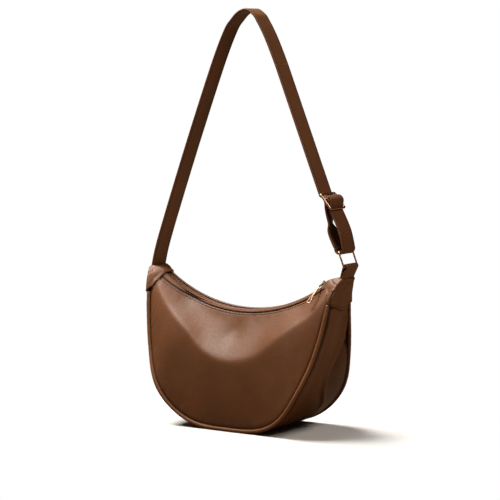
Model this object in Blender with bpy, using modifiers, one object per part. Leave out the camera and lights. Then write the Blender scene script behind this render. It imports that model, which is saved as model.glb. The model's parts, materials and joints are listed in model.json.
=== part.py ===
"""Crescent shoulder bag in soft leather, with a curved top zip and an adjustable strap.

Metres, +Z up. X runs across the bag, the front faces -Y, and the origin is the middle
of the base on the surface that the bag stands on. Shares are parts of a named size.
"""

import math

import bmesh
import bpy
from mathutils import Matrix, Vector

# Fits that every piece shares
GAP = 0.0003
BAR_GAP = 0.0004
OVERLAP = 0.0004

# Leather, lining and piping
LEATHER = 0.0016
LINING = 0.0008
PIPING_RADIUS = 0.0025
PIPING_SEAT = 0.0029

# Body seen from the front: a rounded crescent that settles on its base
BODY_HALF_WIDTH = 0.142
OUTLINE_HEIGHT = 0.355
OUTLINE_POWER_SHARE = 3.1
BASE_SINK = 0.002
HORN_HEIGHT = 0.198
HORN_STEP_OUT = 0.0005
SEAM_END_DROP = 0.0225

# Body seen from the side: deep below, narrow at the horns, with the zip leaning forward
HALF_DEPTH = 0.0605
HORN_HALF_DEPTH = 0.020
DEPTH_SHARES = (0.89, 1.0, 0.605, 0.247, 0.0)
LEAN = 0.0105
FRONT_BULGE = 0.020
BACK_BULGE = 0.013
FRONT_RIDGE_SHARE = 0.6
SIDE_RIDGE_SHARE = 0.7
BACK_RIDGE_SHARE = 0.5
RIDGE_BLEND_SHARE = 0.25
BELLY_POWER_SHARE = 0.8
SLOPE_POWER_SHARE = 1.25
TAPER_POWER_SHARE = 0.8

# Gusset
SIDE_SWELL = 0.005
PLEAT_DEPTH = 0.019
PLEAT_WIDTH_SHARE = 0.3
PLEAT_DROP = 0.017
PLEAT_SHARES = (0.0, 0.0, 0.0, 0.1, 0.3, 0.65, 0.95, 1.0, 0.0)
LINING_PLEAT_SHARES = (0.0, 0.0, 0.1, 0.3, 0.6, 0.95, 1.1, 1.15, 0.9)
LINING_PLEAT_WIDTH_SHARE = 0.6
BASE_EDGE_SHARE = 0.3
BASE_FADE = 0.030

# Zip line: an arc that hangs between the horns
ZIP_DIP = 0.0415
ZIP_END_DROP = 0.0068
ZIP_END_SHARE = 0.885
CAP_EDGE_SHARE = 0.97
RIM_OUTER = 0.0100
RIM_MIDDLE = 0.0080
RIM_INNER = 0.0064
FRONT_RIM_RISE = 0.0025
BACK_RIM_RISE = 0.0032
RIM_SHOULDER_SHARE = 0.8

# Zip tapes, teeth and stops
TAPE = 0.0007
TAPE_INNER = 0.0026
TAPE_OUTER = 0.0083
TOOTH_PITCH = 0.003
TOOTH_WIDTH = 0.0011
TOOTH_HEIGHT = 0.0018
TOOTH_REACH = 0.0006
BEAD_INNER = 0.0009
BEAD_OUTER = 0.0023
STOP_LENGTH = 0.0014
STOP_HEIGHT = 0.0022

# Slider, measured along the zip, across it and up from the tape
SLIDER_REST_SHARE = 0.926
SLIDER_HALF_LENGTH = 0.006
SLIDER_NOSE_HALF = 0.0048
SLIDER_TAIL_HALF = 0.0038
SLIDER_PLATE = 0.001
CHANNEL_HALF = 0.0013
FLANGE_WALL = 0.0009
TAPE_SLOT_HALF = 0.0008
DIVIDER_HALF = 0.0019
DIVIDER_NOSE = 0.0052
DIVIDER_TAIL = 0.0014
TAIL_SHARES = ((-1.0, 0.6), (-0.75, 1.0), (0.0, 1.0))
NOSE_SHARES = ((0.5, 1.0), (0.8, 1.0), (1.0, 0.55))
FLANGE_LENGTH_SHARE = 0.6
FLANGE_SETBACK_SHARE = 0.35
CROWN_HALF_SPAN = 0.0044
CROWN_RISE = 0.0064
CROWN_BAR_RADIUS = 0.0008
CROWN_CORNER_SHARE = 0.6

# Pull: an eye on the crown, a cranked neck over the rim and a blade with an open end
EYE_WIRE_RADIUS = 0.0007
EYE_HOLE_RADIUS = 0.0018
NECK_REACH = 0.0135
NECK_DROP_DEG = 15.0
NECK_WIDTH = 0.0026
PULL_THICKNESS = 0.0015
BLADE_LENGTH = 0.0255
BLADE_DROP_DEG = 50.0
BLADE_LEAN_DEG = 12.0
BLADE_TOP_HALF = 0.0013
BLADE_END_HALF = 0.0031
BLADE_OPEN_LENGTH = 0.0105
BLADE_WALL = 0.0011
BLADE_CORNER = 0.0008
BLADE_OPEN_TOP_SHARE = 0.3
BLADE_OPEN_END_SHARE = 0.6

# Horn caps
CAP = 0.0016
CAP_CLEARANCE = 0.0006
CAP_SLOT_CLEARANCE = 0.0009
CAP_SLOT_SIDE = 0.0022
CAP_SIDE_DROP_SHARE = 0.035
CAP_NARROWING_SHARES = (0.4, 0.8)

# Lining pouch and its slip pocket
LINING_INSET = 0.0032
LINING_SEAM_INSET = 0.0052
LINING_MOUTH = 0.0073
LINING_MOUTH_DROP = 0.0011
LINING_END_SHARE = 0.95
POCKET_HALF_SHARE = 0.3
POCKET_LOW_SHARE = 0.36
POCKET_HIGH_SHARE = 0.74
POCKET_INSET = 0.0024

# Strap
STRAP_LEAN = 0.004
STRAP_WIDTH = 0.030
STRAP = 0.0026
STRAP_TAIL = 0.012
TAIL_LEAN_SHARE = 0.42
STRAP_FLEX = 0.030
LOOP_TOP = 0.5287
ROUTE_X_SHARES = (
    -1.0, -0.938, -0.738, -0.532, -0.32, -0.197, -0.13, -0.06, 0.021,
    0.092, 0.136, 0.236, 0.392, 0.541, 0.681, 0.783,
)
ROUTE_Z_SHARES = (
    0.0, 0.1, 0.3405, 0.5767, 0.809, 0.9232, 0.961, 0.989, 1.0,
    0.983, 0.9598, 0.8842, 0.734, 0.5842, 0.4355, 0.3245,
)
RUN_TOP_SHARE = 0.8

# Adjuster: a frame with a centre bar, leaning out of the line of the strap
ADJUSTER_RISE = 0.0945
ADJUSTER_SETBACK = 0.0201
ADJUSTER_LEAN_DEG = 40.4
ADJUSTER_PITCH = 0.01135
ADJUSTER_WIRE_RADIUS = 0.0015
ADJUSTER_HALF_WIDTH = 0.0171
ADJUSTER_CORNER = 0.0025

# Ring, with its upper bar in the strap and its lower bar in the tab
RING_RISE = 0.015
RING_STEP_OUT = 0.0057
RING_PITCH = 0.0205
RING_LEAN_DEG = 21.4
RING_WIRE_RADIUS = 0.0011
RING_HALF_WIDTH = 0.0166
RING_CORNER = 0.0022

# Lower loop of the strap, from the adjuster round the ring and back to the centre bar
TURN_RADIUS = 0.0056
OUTER_BOW = 0.0012
OUTER_BOW_SHARE = 0.55
OUTER_JOINT_SHARE = 0.06
INNER_BOW = 0.0067
INNER_BOW_SHARES = (0.4, 0.6)
INNER_TWIST_DEG = -23.0
INNER_TWIST_POWER_SHARE = 1.3
END_WRAP_DEG = 215.0

# Tab
TAB_WIDTH = 0.0275
TAB = 0.0022
TAB_TAIL = 0.011

# How finely the forms are cut, and how near two points count as one
WELD = 0.00001
SEAM_STEPS = 160
PANEL_COLUMNS = 29
GUSSET_COLUMNS = 49
PIPING_COLUMNS = 45
LINING_COLUMNS = 25
TAPE_COLUMNS = 33
ARC_STEP_DEG = 20.0
WIRE_CORNER_STEPS = 4
ROUTE_STEPS = 8
LOOP_COLUMNS = 44
LEG_COLUMNS = 8
TURN_COLUMNS = 10
WRAP_COLUMNS = 12
EYE_COLUMNS = 16
POCKET_COLUMNS = 7
POCKET_ROWS = 6
WHOLE_TURN_DEG = 330.0
SEAM_NUDGE_SHARE = 0.004
PANEL_ROW_SHARES = (0.0, 0.12, 0.26, 0.42, 0.58, 0.72, 0.84, 0.93, 1.0)
GUSSET_ROW_SHARES = (-1.0, -0.84, -0.62, -0.3, 0.0, 0.3, 0.62, 0.84, 1.0)
LINING_ROW_SHARES = (0.12, 0.3, 0.5, 0.7, 0.9)
LINING_BASE_SHARES = (-0.7, -0.35, 0.0, 0.35, 0.7)
CAP_RIB_SHARES = (1.0, 0.7, 0.35)
MOUTH_SHARES = (0.4, 0.8)
CAP_SIDE_SHARES = (-0.6, -0.2, 0.2, 0.6)

# What follows from the sizes above
HORN_X = BODY_HALF_WIDTH + HORN_STEP_OUT
SEAM_END_HEIGHT = HORN_HEIGHT - SEAM_END_DROP
PLEAT_TOP = SEAM_END_HEIGHT - PLEAT_DROP
ZIP_HALF_SPAN = ZIP_END_SHARE * BODY_HALF_WIDTH
ZIP_LOW = HORN_HEIGHT - ZIP_END_DROP - ZIP_DIP
ZIP_RADIUS = (ZIP_HALF_SPAN**2 + ZIP_DIP**2) / (2 * ZIP_DIP)
ARC_CENTRE_Z = ZIP_LOW + ZIP_RADIUS
PANEL_END_DEG = math.degrees(math.asin(ZIP_HALF_SPAN / ZIP_RADIUS))
SLIDER_REST_DEG = SLIDER_REST_SHARE * PANEL_END_DEG
ZIP_Y = -LEAN
STRAP_Y = -STRAP_LEAN
RIM_LANDING = TAPE / 2 + GAP + LEATHER
SLIDER_HALF_DEG = math.degrees(SLIDER_HALF_LENGTH / ZIP_RADIUS)
STOP_DEG = math.degrees(STOP_LENGTH / ZIP_RADIUS)
GAP_DEG = math.degrees(GAP / ZIP_RADIUS)
PLATE_LOW = CHANNEL_HALF
PLATE_HIGH = CHANNEL_HALF + SLIDER_PLATE

# Colours and finishes
LEATHER_COLOUR = (0.102, 0.042, 0.018, 1.0)
LINING_COLOUR = (0.085, 0.055, 0.038, 1.0)
TAPE_COLOUR = (0.060, 0.028, 0.014, 1.0)
METAL_COLOUR = (0.78, 0.44, 0.29, 1.0)
LEATHER_ROUGHNESS_SHARE = 0.45
LINING_ROUGHNESS_SHARE = 0.9
TAPE_ROUGHNESS_SHARE = 0.85
TEETH_ROUGHNESS_SHARE = 0.4
METAL_ROUGHNESS_SHARE = 0.25


def material(name, colour, roughness, metallic=0.0):
    """A Principled material for one piece."""
    made = bpy.data.materials.new(name)
    made.use_nodes = True
    shader = made.node_tree.nodes["Principled BSDF"]
    shader.inputs["Base Color"].default_value = colour
    shader.inputs["Roughness"].default_value = roughness
    shader.inputs["Metallic"].default_value = metallic
    made.diffuse_color = colour
    return made


def leather(name):
    return material(name, LEATHER_COLOUR, LEATHER_ROUGHNESS_SHARE)


def metal(name):
    return material(name, METAL_COLOUR, METAL_ROUGHNESS_SHARE, 1.0)


def collection(name):
    made = bpy.data.collections.new(name)
    bpy.context.scene.collection.children.link(made)
    return made


def new_object(name, data, home, finish=None):
    made = bpy.data.objects.new(name, data)
    home.objects.link(made)
    if finish:
        data.materials.append(finish)
    return made


def axis_empty(name, place, home):
    """A parent on a joint's axis."""
    made = bpy.data.objects.new(name, None)
    made.location = place
    home.objects.link(made)
    return made


def carry(piece, origin, parent=None):
    """Gives a piece made in world places an origin of its own, and a parent."""
    piece.data.transform(Matrix.Translation(-origin))
    piece.location = origin
    if parent:
        piece.parent = parent
        piece.location = origin - parent.location


def spread(count, low=-1.0, high=1.0):
    """Evenly spaced shares from low to high."""
    return [low + (high - low) * step / (count - 1) for step in range(count)]


def mix(a, b, share):
    return a + (b - a) * share


def curve_through(values, place):
    """Smooth value at a place from 0 to 1 along evenly spaced values."""
    steps = len(values) - 1
    along = min(max(place, 0.0), 1.0) * steps
    low = min(int(along), steps - 1)
    part = along - low
    before = values[max(low - 1, 0)]
    start = values[low]
    end = values[low + 1]
    after = values[min(low + 2, steps)]
    square = before - 2.5 * start + 2 * end - after / 2
    cube = 1.5 * (start - end) + (after - before) / 2
    return start + part * ((end - before) / 2 + part * (square + part * cube))


def resample(points, count):
    """The same line with evenly spaced points."""
    lengths = [0.0]
    for a, b in zip(points, points[1:]):
        lengths.append(lengths[-1] + (b - a).length)
    made = []
    low = 0
    for share in spread(count, 0.0, 1.0):
        want = share * lengths[-1]
        while low < len(points) - 2 and lengths[low + 1] < want:
            low += 1
        part = (want - lengths[low]) / (lengths[low + 1] - lengths[low])
        made.append(mix(points[low], points[low + 1], part))
    return made


def smooth_line(points, fine):
    """A smooth line through a few points, with fine steps between each two."""
    steps = (len(points) - 1) * fine
    return [curve_through(points, step / steps) for step in range(steps + 1)]


def grid_faces(columns, rows, flip, closed):
    faces = []
    for i in range(columns if closed else columns - 1):
        following = (i + 1) % columns
        for j in range(rows - 1):
            face = [i * rows + j, following * rows + j, following * rows + j + 1, i * rows + j + 1]
            faces.append(face[::-1] if flip else face)
    return faces


def sheet(name, columns, thickness, offset, home, finish, flip=False, closed=False):
    """A shell of even thickness on a lofted surface, given as columns of points."""
    rows = len(columns[0])
    mesh = bpy.data.meshes.new(name)
    points = [point for column in columns for point in column]
    mesh.from_pydata(points, [], grid_faces(len(columns), rows, flip, closed))
    mesh.shade_smooth()
    made = new_object(name, mesh, home, finish)
    wall = made.modifiers.new("Wall", "SOLIDIFY")
    wall.thickness = thickness
    wall.offset = offset
    return made


def wire(name, points, radius, home, finish, closed=False):
    """A round bar or tube along a line of points."""
    data = bpy.data.curves.new(name, "CURVE")
    data.dimensions = "3D"
    data.bevel_depth = radius
    data.bevel_resolution = 2
    data.use_fill_caps = not closed
    data.twist_mode = "Z_UP" if closed else "MINIMUM"
    spline = data.splines.new("POLY")
    spline.points.add(len(points) - 1)
    for target, point in zip(spline.points, points):
        target.co = (*point, 1.0)
    spline.use_cyclic_u = closed
    spline.use_smooth = True
    return new_object(name, data, home, finish)


def flat_outline(name, outlines, thickness, home, finish=None):
    """A flat plate from closed outlines in X and Y, the first outside and the rest holes."""
    data = bpy.data.curves.new(name, "CURVE")
    data.dimensions = "2D"
    data.fill_mode = "BOTH"
    data.extrude = thickness / 2
    for outline in outlines:
        spline = data.splines.new("POLY")
        spline.points.add(len(outline) - 1)
        for target, point in zip(spline.points, outline):
            target.co = (point[0], point[1], 0.0, 1.0)
        spline.use_cyclic_u = True
    return new_object(name, data, home, finish)


def as_mesh(piece):
    """The same piece as a welded mesh, so that it can be cut or joined."""
    bpy.context.view_layer.update()
    evaluated = piece.evaluated_get(bpy.context.evaluated_depsgraph_get())
    mesh = bpy.data.meshes.new_from_object(evaluated)
    shaped = bmesh.new()
    shaped.from_mesh(mesh)
    bmesh.ops.remove_doubles(shaped, verts=shaped.verts, dist=WELD)
    bmesh.ops.recalc_face_normals(shaped, faces=shaped.faces)
    shaped.to_mesh(mesh)
    shaped.free()
    mesh.name = piece.name
    made = bpy.data.objects.new(piece.name + "_form", mesh)
    piece.users_collection[0].objects.link(made)
    made.matrix_world = piece.matrix_world
    name = piece.name
    bpy.data.objects.remove(piece)
    made.name = name
    return made


def box(name, size, centre, home):
    """A block of the given size about its centre."""
    mesh = bpy.data.meshes.new(name)
    shaped = bmesh.new()
    bmesh.ops.create_cube(shaped, size=1.0)
    bmesh.ops.scale(shaped, vec=size, verts=shaped.verts)
    bmesh.ops.translate(shaped, vec=centre, verts=shaped.verts)
    shaped.to_mesh(mesh)
    shaped.free()
    return new_object(name, mesh, home)


def hide(piece, home):
    """Puts a helper among the cutters, out of the finished part."""
    for old in list(piece.users_collection):
        old.objects.unlink(piece)
    home.objects.link(piece)
    piece.hide_render = True
    piece.display_type = "WIRE"


def join(piece, others, helpers):
    """Joins closed forms into one body."""
    for number, other in enumerate(others):
        union = piece.modifiers.new(f"Join {number + 1}", "BOOLEAN")
        union.operation = "UNION"
        union.object = other
        hide(other, helpers)


def seam_half():
    """Half of the seam outline, from the middle of the base up to the horn, as X and Z."""
    floor = PIPING_RADIUS
    power = OUTLINE_POWER_SHARE / 2
    first = math.acos((1 - BASE_SINK / OUTLINE_HEIGHT) ** power)
    last = math.acos((1 - (SEAM_END_HEIGHT - floor + BASE_SINK) / OUTLINE_HEIGHT) ** power)
    points = [Vector((0.0, floor))]
    for turn in spread(SEAM_STEPS, first, last):
        across = BODY_HALF_WIDTH * math.sin(turn) ** (1 / power)
        up = OUTLINE_HEIGHT * (1 - math.cos(turn) ** (1 / power))
        points.append(Vector((across, floor - BASE_SINK + up)))
    return resample(points, SEAM_STEPS)


SEAM_HALF = seam_half()


def seam(t):
    """The seam at t, from -1 at the left horn, through 0 at the base, to 1 at the right."""
    along = min(abs(t), 1.0) * (len(SEAM_HALF) - 1)
    low = min(int(along), len(SEAM_HALF) - 2)
    point = mix(SEAM_HALF[low], SEAM_HALF[low + 1], along - low)
    return Vector((math.copysign(point.x, t), point.y))


def seam_outward(t):
    """The direction that leaves the body at the seam, in X and Z."""
    ahead = seam(min(t + SEAM_NUDGE_SHARE, 1.0))
    behind = seam(max(t - SEAM_NUDGE_SHARE, -1.0))
    run = ahead - behind
    return Vector((run.y, -run.x)).normalized()


def half_depth(z):
    share = curve_through(DEPTH_SHARES, z / HORN_HEIGHT)
    return mix(HORN_HALF_DEPTH, HALF_DEPTH, share)


def middle_y(z):
    """The middle of the body's depth, which leans forward up to the zip."""
    return -LEAN * min(z / ZIP_LOW, 1.0)


def zip_xz(degrees, lift):
    """A place on the zip arc, lifted off it towards the arc's centre."""
    turn = math.radians(degrees)
    reach = ZIP_RADIUS - lift
    return Vector((reach * math.sin(turn), ARC_CENTRE_Z - reach * math.cos(turn)))


def on_zip(degrees, across, lift):
    """A world place by its angle along the zip, its distance across and its lift."""
    flat = zip_xz(degrees, lift)
    return Vector((flat.x, ZIP_Y + across, flat.y))


def swell(v, ridge):
    """How full a panel is at v, from 0 at the seam, past 1 at the ridge, to 0 at the zip."""
    if v < ridge:
        return math.sin(math.pi / 2 * v / ridge) ** BELLY_POWER_SHARE
    return ((1 - v) / (1 - ridge)) ** SLOPE_POWER_SHARE


def panel_point(t, v, side, inset=0.0, rise_share=RIM_SHOULDER_SHARE):
    """A place on a panel: side is -1 in front and 1 behind, inset is inwards along Y."""
    start = seam(t)
    rise = rise_share * (FRONT_RIM_RISE if side < 0 else BACK_RIM_RISE)
    flat = mix(start, zip_xz(t * PANEL_END_DEG, rise), v)
    seam_y = middle_y(start.y) + side * half_depth(start.y)
    rim_y = ZIP_Y + side * RIM_OUTER
    if side < 0:
        ridge = mix(FRONT_RIDGE_SHARE, SIDE_RIDGE_SHARE, min(abs(t) / RIDGE_BLEND_SHARE, 1.0))
        bulge = FRONT_BULGE
    else:
        ridge = BACK_RIDGE_SHARE
        bulge = BACK_BULGE
    fullness = bulge * (1 - t * t) ** TAPER_POWER_SHARE * swell(v, ridge)
    return Vector((flat.x, mix(seam_y, rim_y, v) + side * (fullness - inset), flat.y))


def panel_height(t):
    """How far the zip lies from the seam at t, square to the seam."""
    return (seam(t) - zip_xz(t * PANEL_END_DEG, 0.0)).dot(seam_outward(t))


def rim_points(t, side):
    """The turned edge of a panel over the zip tape, from its shoulder inwards."""
    degrees = t * PANEL_END_DEG
    rise = FRONT_RIM_RISE if side < 0 else BACK_RIM_RISE
    return [
        on_zip(degrees, side * RIM_MIDDLE, rise),
        on_zip(degrees, side * RIM_INNER, max(RIM_LANDING, rise - TAPE_INNER)),
    ]


def gusset_point(t, r, inset=0.0, depths=PLEAT_SHARES, width=PLEAT_WIDTH_SHARE):
    """A place on the gusset: r runs from -1 at the front seam to 1 at the back."""
    start = seam(t)
    out = seam_outward(t)
    settled = min((start.y - PIPING_RADIUS) / BASE_FADE, 1.0)
    flat_base = PIPING_RADIUS * min((1 - abs(r)) / BASE_EDGE_SHARE, 1.0)
    full_side = SIDE_SWELL * (1 - r * r)
    fold = PLEAT_DEPTH * curve_through(depths, start.y / PLEAT_TOP) * math.exp(-((r / width) ** 2))
    shift = mix(flat_base, full_side, settled) - fold - inset
    flat = start + out * shift
    return Vector((flat.x, middle_y(start.y) + r * half_depth(start.y), flat.y))


def panel(name, side, home):
    """A leather panel from its seam up to the edge that is turned in over the zip."""
    columns = []
    for t in spread(PANEL_COLUMNS):
        start = PIPING_SEAT / panel_height(t)
        column = [panel_point(t, mix(start, 1.0, share), side) for share in PANEL_ROW_SHARES]
        columns.append(column + rim_points(t, side))
    return sheet(name, columns, LEATHER, -1, home, leather(name), flip=side > 0)


def gusset(home):
    """The strip between the panels, flat under the base and folded inwards at the sides."""
    columns = []
    for t in spread(GUSSET_COLUMNS):
        edge = 1 - PIPING_SEAT / half_depth(seam(t).y)
        columns.append([gusset_point(t, share * edge) for share in GUSSET_ROW_SHARES])
    return sheet("gusset", columns, LEATHER, -1, home, leather("gusset"), flip=True)


def piping(name, side, home):
    """The corded edge in a seam, from one cap down round the base to the other."""
    points = []
    reach = CAP_EDGE_SHARE - 2 * SEAM_NUDGE_SHARE
    for t in spread(PIPING_COLUMNS, -reach, reach):
        flat = seam(t)
        y = middle_y(flat.y) + side * half_depth(flat.y)
        points.append(Vector((flat.x, y, flat.y)))
    return wire(name, points, PIPING_RADIUS, home, leather(name))


def cap_loop(t, drop, lift):
    """A closed loop on the outside of a horn, lifted off it, with its side part lowered."""
    points = []
    for side in (-1, 1):
        half = list(reversed(rim_points(t, side)))
        half += [panel_point(t, share, side) for share in CAP_RIB_SHARES]
        half.append(gusset_point(t, side))
        points.append(half)
    step = math.copysign(drop, t)
    sides = []
    for r in CAP_SIDE_SHARES:
        sides.append(gusset_point(t - step * (1 - abs(r)), r))
    loop = points[0] + sides + list(reversed(points[1]))
    loop.append((loop[0] + loop[-1]) / 2)
    centre = sum(loop, Vector()) / len(loop)
    axis = Vector((math.copysign(1.0, t), 0.0, 1.0)).normalized()
    made = []
    for i, point in enumerate(loop):
        along = loop[(i + 1) % len(loop)] - loop[i - 1]
        out = along.cross(axis).normalized()
        if out.dot(point - centre) < 0:
            out.negate()
        made.append(point + out * lift)
    return made


def cap_mouth(side, half_x, half_y):
    """The slot at the top of a cap, with as many points as the loops below it."""
    inner = [(-1, -share) for share in MOUTH_SHARES]
    front = [(mix(1, -1, share), -1) for share in CAP_RIB_SHARES]
    outer = [(1, -1)] + [(1, r) for r in CAP_SIDE_SHARES] + [(1, 1)]
    back = [(mix(1, -1, share), 1) for share in reversed(CAP_RIB_SHARES)]
    inner_back = [(-1, share) for share in reversed(MOUTH_SHARES)]
    ring = inner + front + outer + back + inner_back + [(-1, 0)]
    return [
        Vector((side * (HORN_X + a * half_x), STRAP_Y + b * half_y, HORN_HEIGHT)) for a, b in ring
    ]


def horn_cap(name, side, half_x, half_y, home):
    """The leather cap over a horn, from its slanting edge up to the slot for the strap."""
    lift = GAP + CAP_CLEARANCE
    low = cap_loop(side * CAP_EDGE_SHARE, CAP_SIDE_DROP_SHARE, lift)
    high = cap_loop(side, CAP_SIDE_DROP_SHARE / 2, lift)
    mouth = cap_mouth(side, half_x, half_y)
    loops = [low, high]
    for share in CAP_NARROWING_SHARES:
        loops.append([mix(a, b, share) for a, b in zip(high, mouth)])
    loops.append(mouth)
    columns = [list(column) for column in zip(*loops)]
    return sheet(name, columns, CAP, 1, home, leather(name), flip=side < 0, closed=True)


def zip_tape(name, side, home):
    """A woven tape under the edge of a panel."""
    columns = []
    for degrees in spread(TAPE_COLUMNS, -PANEL_END_DEG, PANEL_END_DEG):
        columns.append([on_zip(degrees, side * y, 0.0) for y in (TAPE_INNER, TAPE_OUTER)])
    finish = material(name, TAPE_COLOUR, TAPE_ROUGHNESS_SHARE)
    return sheet(name, columns, TAPE, 0, home, finish)


def zip_teeth(name, side, home):
    """A row of teeth on its bead, which meshes with the other row half a pitch away."""
    first = -(SLIDER_REST_DEG + SLIDER_HALF_DEG)
    last = SLIDER_REST_DEG + math.degrees((DIVIDER_TAIL - STOP_LENGTH) / ZIP_RADIUS)
    pitch = math.degrees(TOOTH_PITCH / ZIP_RADIUS)
    width = math.degrees(TOOTH_WIDTH / ZIP_RADIUS)
    count = int((last - first) / pitch)
    offset = 0.0 if side < 0 else pitch / 2
    points = []
    faces = []

    def add(degrees, across):
        points.append(on_zip(degrees, side * across, 0.0))
        return len(points) - 1

    outer = add(first, BEAD_OUTER)
    inner = add(first, BEAD_INNER)
    for number in range(count):
        start = first + pitch * number + offset + GAP_DEG
        end = start + width
        start_outer = add(start, BEAD_OUTER)
        start_inner = add(start, BEAD_INNER)
        end_outer = add(end, BEAD_OUTER)
        end_inner = add(end, BEAD_INNER)
        tip_start = add(start, -TOOTH_REACH)
        tip_end = add(end, -TOOTH_REACH)
        faces.append([outer, start_outer, start_inner, inner])
        faces.append([start_outer, end_outer, end_inner, start_inner])
        faces.append([start_inner, end_inner, tip_end, tip_start])
        outer = end_outer
        inner = end_inner
    mesh = bpy.data.meshes.new(name)
    mesh.from_pydata(points, [], faces)
    made = new_object(name, mesh, home, material(name, TAPE_COLOUR, TEETH_ROUGHNESS_SHARE))
    wall = made.modifiers.new("Height", "SOLIDIFY")
    wall.thickness = TOOTH_HEIGHT
    wall.offset = 0
    return made


def zip_stop(name, degrees, low, high, home):
    """A small block across a stretch of the zip."""
    columns = []
    for step in (-1, 1):
        place = degrees + step * STOP_DEG / 2
        columns.append([on_zip(place, low, 0.0), on_zip(place, high, 0.0)])
    return sheet(name, columns, STOP_HEIGHT, 0, home, metal(name))


def lining_column(t):
    """A section through the lining pouch, from its front edge down and up to its back edge."""
    degrees = t * PANEL_END_DEG
    halves = []
    for side in (-1, 1):
        mouth = on_zip(degrees, side * LINING_MOUTH, -LINING_MOUTH_DROP)
        half = [mouth]
        low = LINING_SEAM_INSET / panel_height(t)
        for share in reversed(LINING_ROW_SHARES):
            half.append(panel_point(t, mix(low, 1.0, share), side, LINING_INSET, 0.0))
        start = seam(t) - seam_outward(t) * LINING_SEAM_INSET
        y = middle_y(start.y) + side * (half_depth(seam(t).y) - LINING_SEAM_INSET)
        half.append(Vector((start.x, y, start.y)))
        halves.append(half)
    fold = (LINING_PLEAT_SHARES, LINING_PLEAT_WIDTH_SHARE)
    base = [gusset_point(t, r, LINING_INSET, *fold) for r in LINING_BASE_SHARES]
    return halves[0] + base + list(reversed(halves[1]))


def lining(home):
    """The pouch inside, open along the zip."""
    columns = [lining_column(t) for t in spread(LINING_COLUMNS, -LINING_END_SHARE, LINING_END_SHARE)]
    finish = material("lining", LINING_COLOUR, LINING_ROUGHNESS_SHARE)
    return sheet("lining", columns, LINING, -1, home, finish, flip=True)


def slip_pocket(home):
    """A flat pocket sewn to the back of the lining."""
    columns = []
    inset = LINING_INSET + LINING + POCKET_INSET
    for t in spread(POCKET_COLUMNS, -POCKET_HALF_SHARE, POCKET_HALF_SHARE):
        rows = spread(POCKET_ROWS, POCKET_LOW_SHARE, POCKET_HIGH_SHARE)
        columns.append([panel_point(t, v, 1, inset) for v in rows])
    finish = material("slip_pocket", LINING_COLOUR, LINING_ROUGHNESS_SHARE)
    return sheet("slip_pocket", columns, LINING, 1, home, finish)


def in_slider(along, across, up):
    """A world place by its place in the slider's own frame."""
    turn = math.radians(SLIDER_REST_DEG)
    flat = on_zip(SLIDER_REST_DEG, across, up)
    return flat + Vector((math.cos(turn), 0.0, math.sin(turn))) * along


def slider_matrix():
    turn = math.radians(SLIDER_REST_DEG)
    return Matrix.Translation(on_zip(SLIDER_REST_DEG, 0.0, 0.0)) @ Matrix.Rotation(-turn, 4, "Y")


def slider_outline():
    """A rounded nose and a narrower tail, seen from above."""
    half = [(SLIDER_HALF_LENGTH * a, SLIDER_TAIL_HALF * b) for a, b in TAIL_SHARES]
    half += [(SLIDER_HALF_LENGTH * a, SLIDER_NOSE_HALF * b) for a, b in NOSE_SHARES]
    return half + [(x, -y) for x, y in reversed(half)]


def zip_slider(parent, home, helpers):
    """Two plates held apart by a divider, with side flanges and a crown for the pull."""
    name = "zip_slider"
    pieces = []
    for up in (PLATE_LOW, -PLATE_HIGH):
        plate = flat_outline(f"{name}_plate_{len(pieces)}", [slider_outline()], SLIDER_PLATE, home)
        plate.location = (0.0, 0.0, up + SLIDER_PLATE / 2)
        pieces.append(as_mesh(plate))
    for side in (-1, 1):
        for level in (-1, 1):
            low = TAPE_SLOT_HALF
            high = CHANNEL_HALF + OVERLAP
            size = (2 * SLIDER_HALF_LENGTH * FLANGE_LENGTH_SHARE, FLANGE_WALL, high - low)
            across = side * (SLIDER_TAIL_HALF - FLANGE_WALL / 2)
            along = -SLIDER_HALF_LENGTH * FLANGE_SETBACK_SHARE
            centre = (along, across, level * (low + high) / 2)
            pieces.append(box(f"{name}_flange_{len(pieces)}", size, centre, home))
    ramp = (DIVIDER_NOSE + DIVIDER_TAIL) / 2
    diamond = [(DIVIDER_TAIL, 0.0), (ramp, DIVIDER_HALF), (DIVIDER_NOSE, 0.0), (ramp, -DIVIDER_HALF)]
    divider = flat_outline(f"{name}_divider", [diamond], 2 * (CHANNEL_HALF + OVERLAP), home)
    pieces.append(as_mesh(divider))
    corner = CROWN_CORNER_SHARE * CROWN_HALF_SPAN
    foot = PLATE_HIGH - OVERLAP
    arch = [
        Vector((-CROWN_HALF_SPAN, 0.0, foot)),
        Vector((-CROWN_HALF_SPAN, 0.0, CROWN_RISE - CROWN_BAR_RADIUS)),
        Vector((-corner, 0.0, CROWN_RISE)),
        Vector((corner, 0.0, CROWN_RISE)),
        Vector((CROWN_HALF_SPAN, 0.0, CROWN_RISE - CROWN_BAR_RADIUS)),
        Vector((CROWN_HALF_SPAN, 0.0, foot)),
    ]
    crown = wire(f"{name}_crown", arch, CROWN_BAR_RADIUS, home, None)
    pieces.append(as_mesh(crown))
    for piece in pieces:
        bpy.context.view_layer.update()
        piece.data.transform(slider_matrix() @ piece.matrix_world)
        piece.matrix_world = Matrix.Identity(4)
        carry(piece, parent.location.copy(), parent)
    body = pieces[0]
    body.name = name
    body.data.materials.append(metal(name))
    join(body, pieces[1:], helpers)


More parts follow.
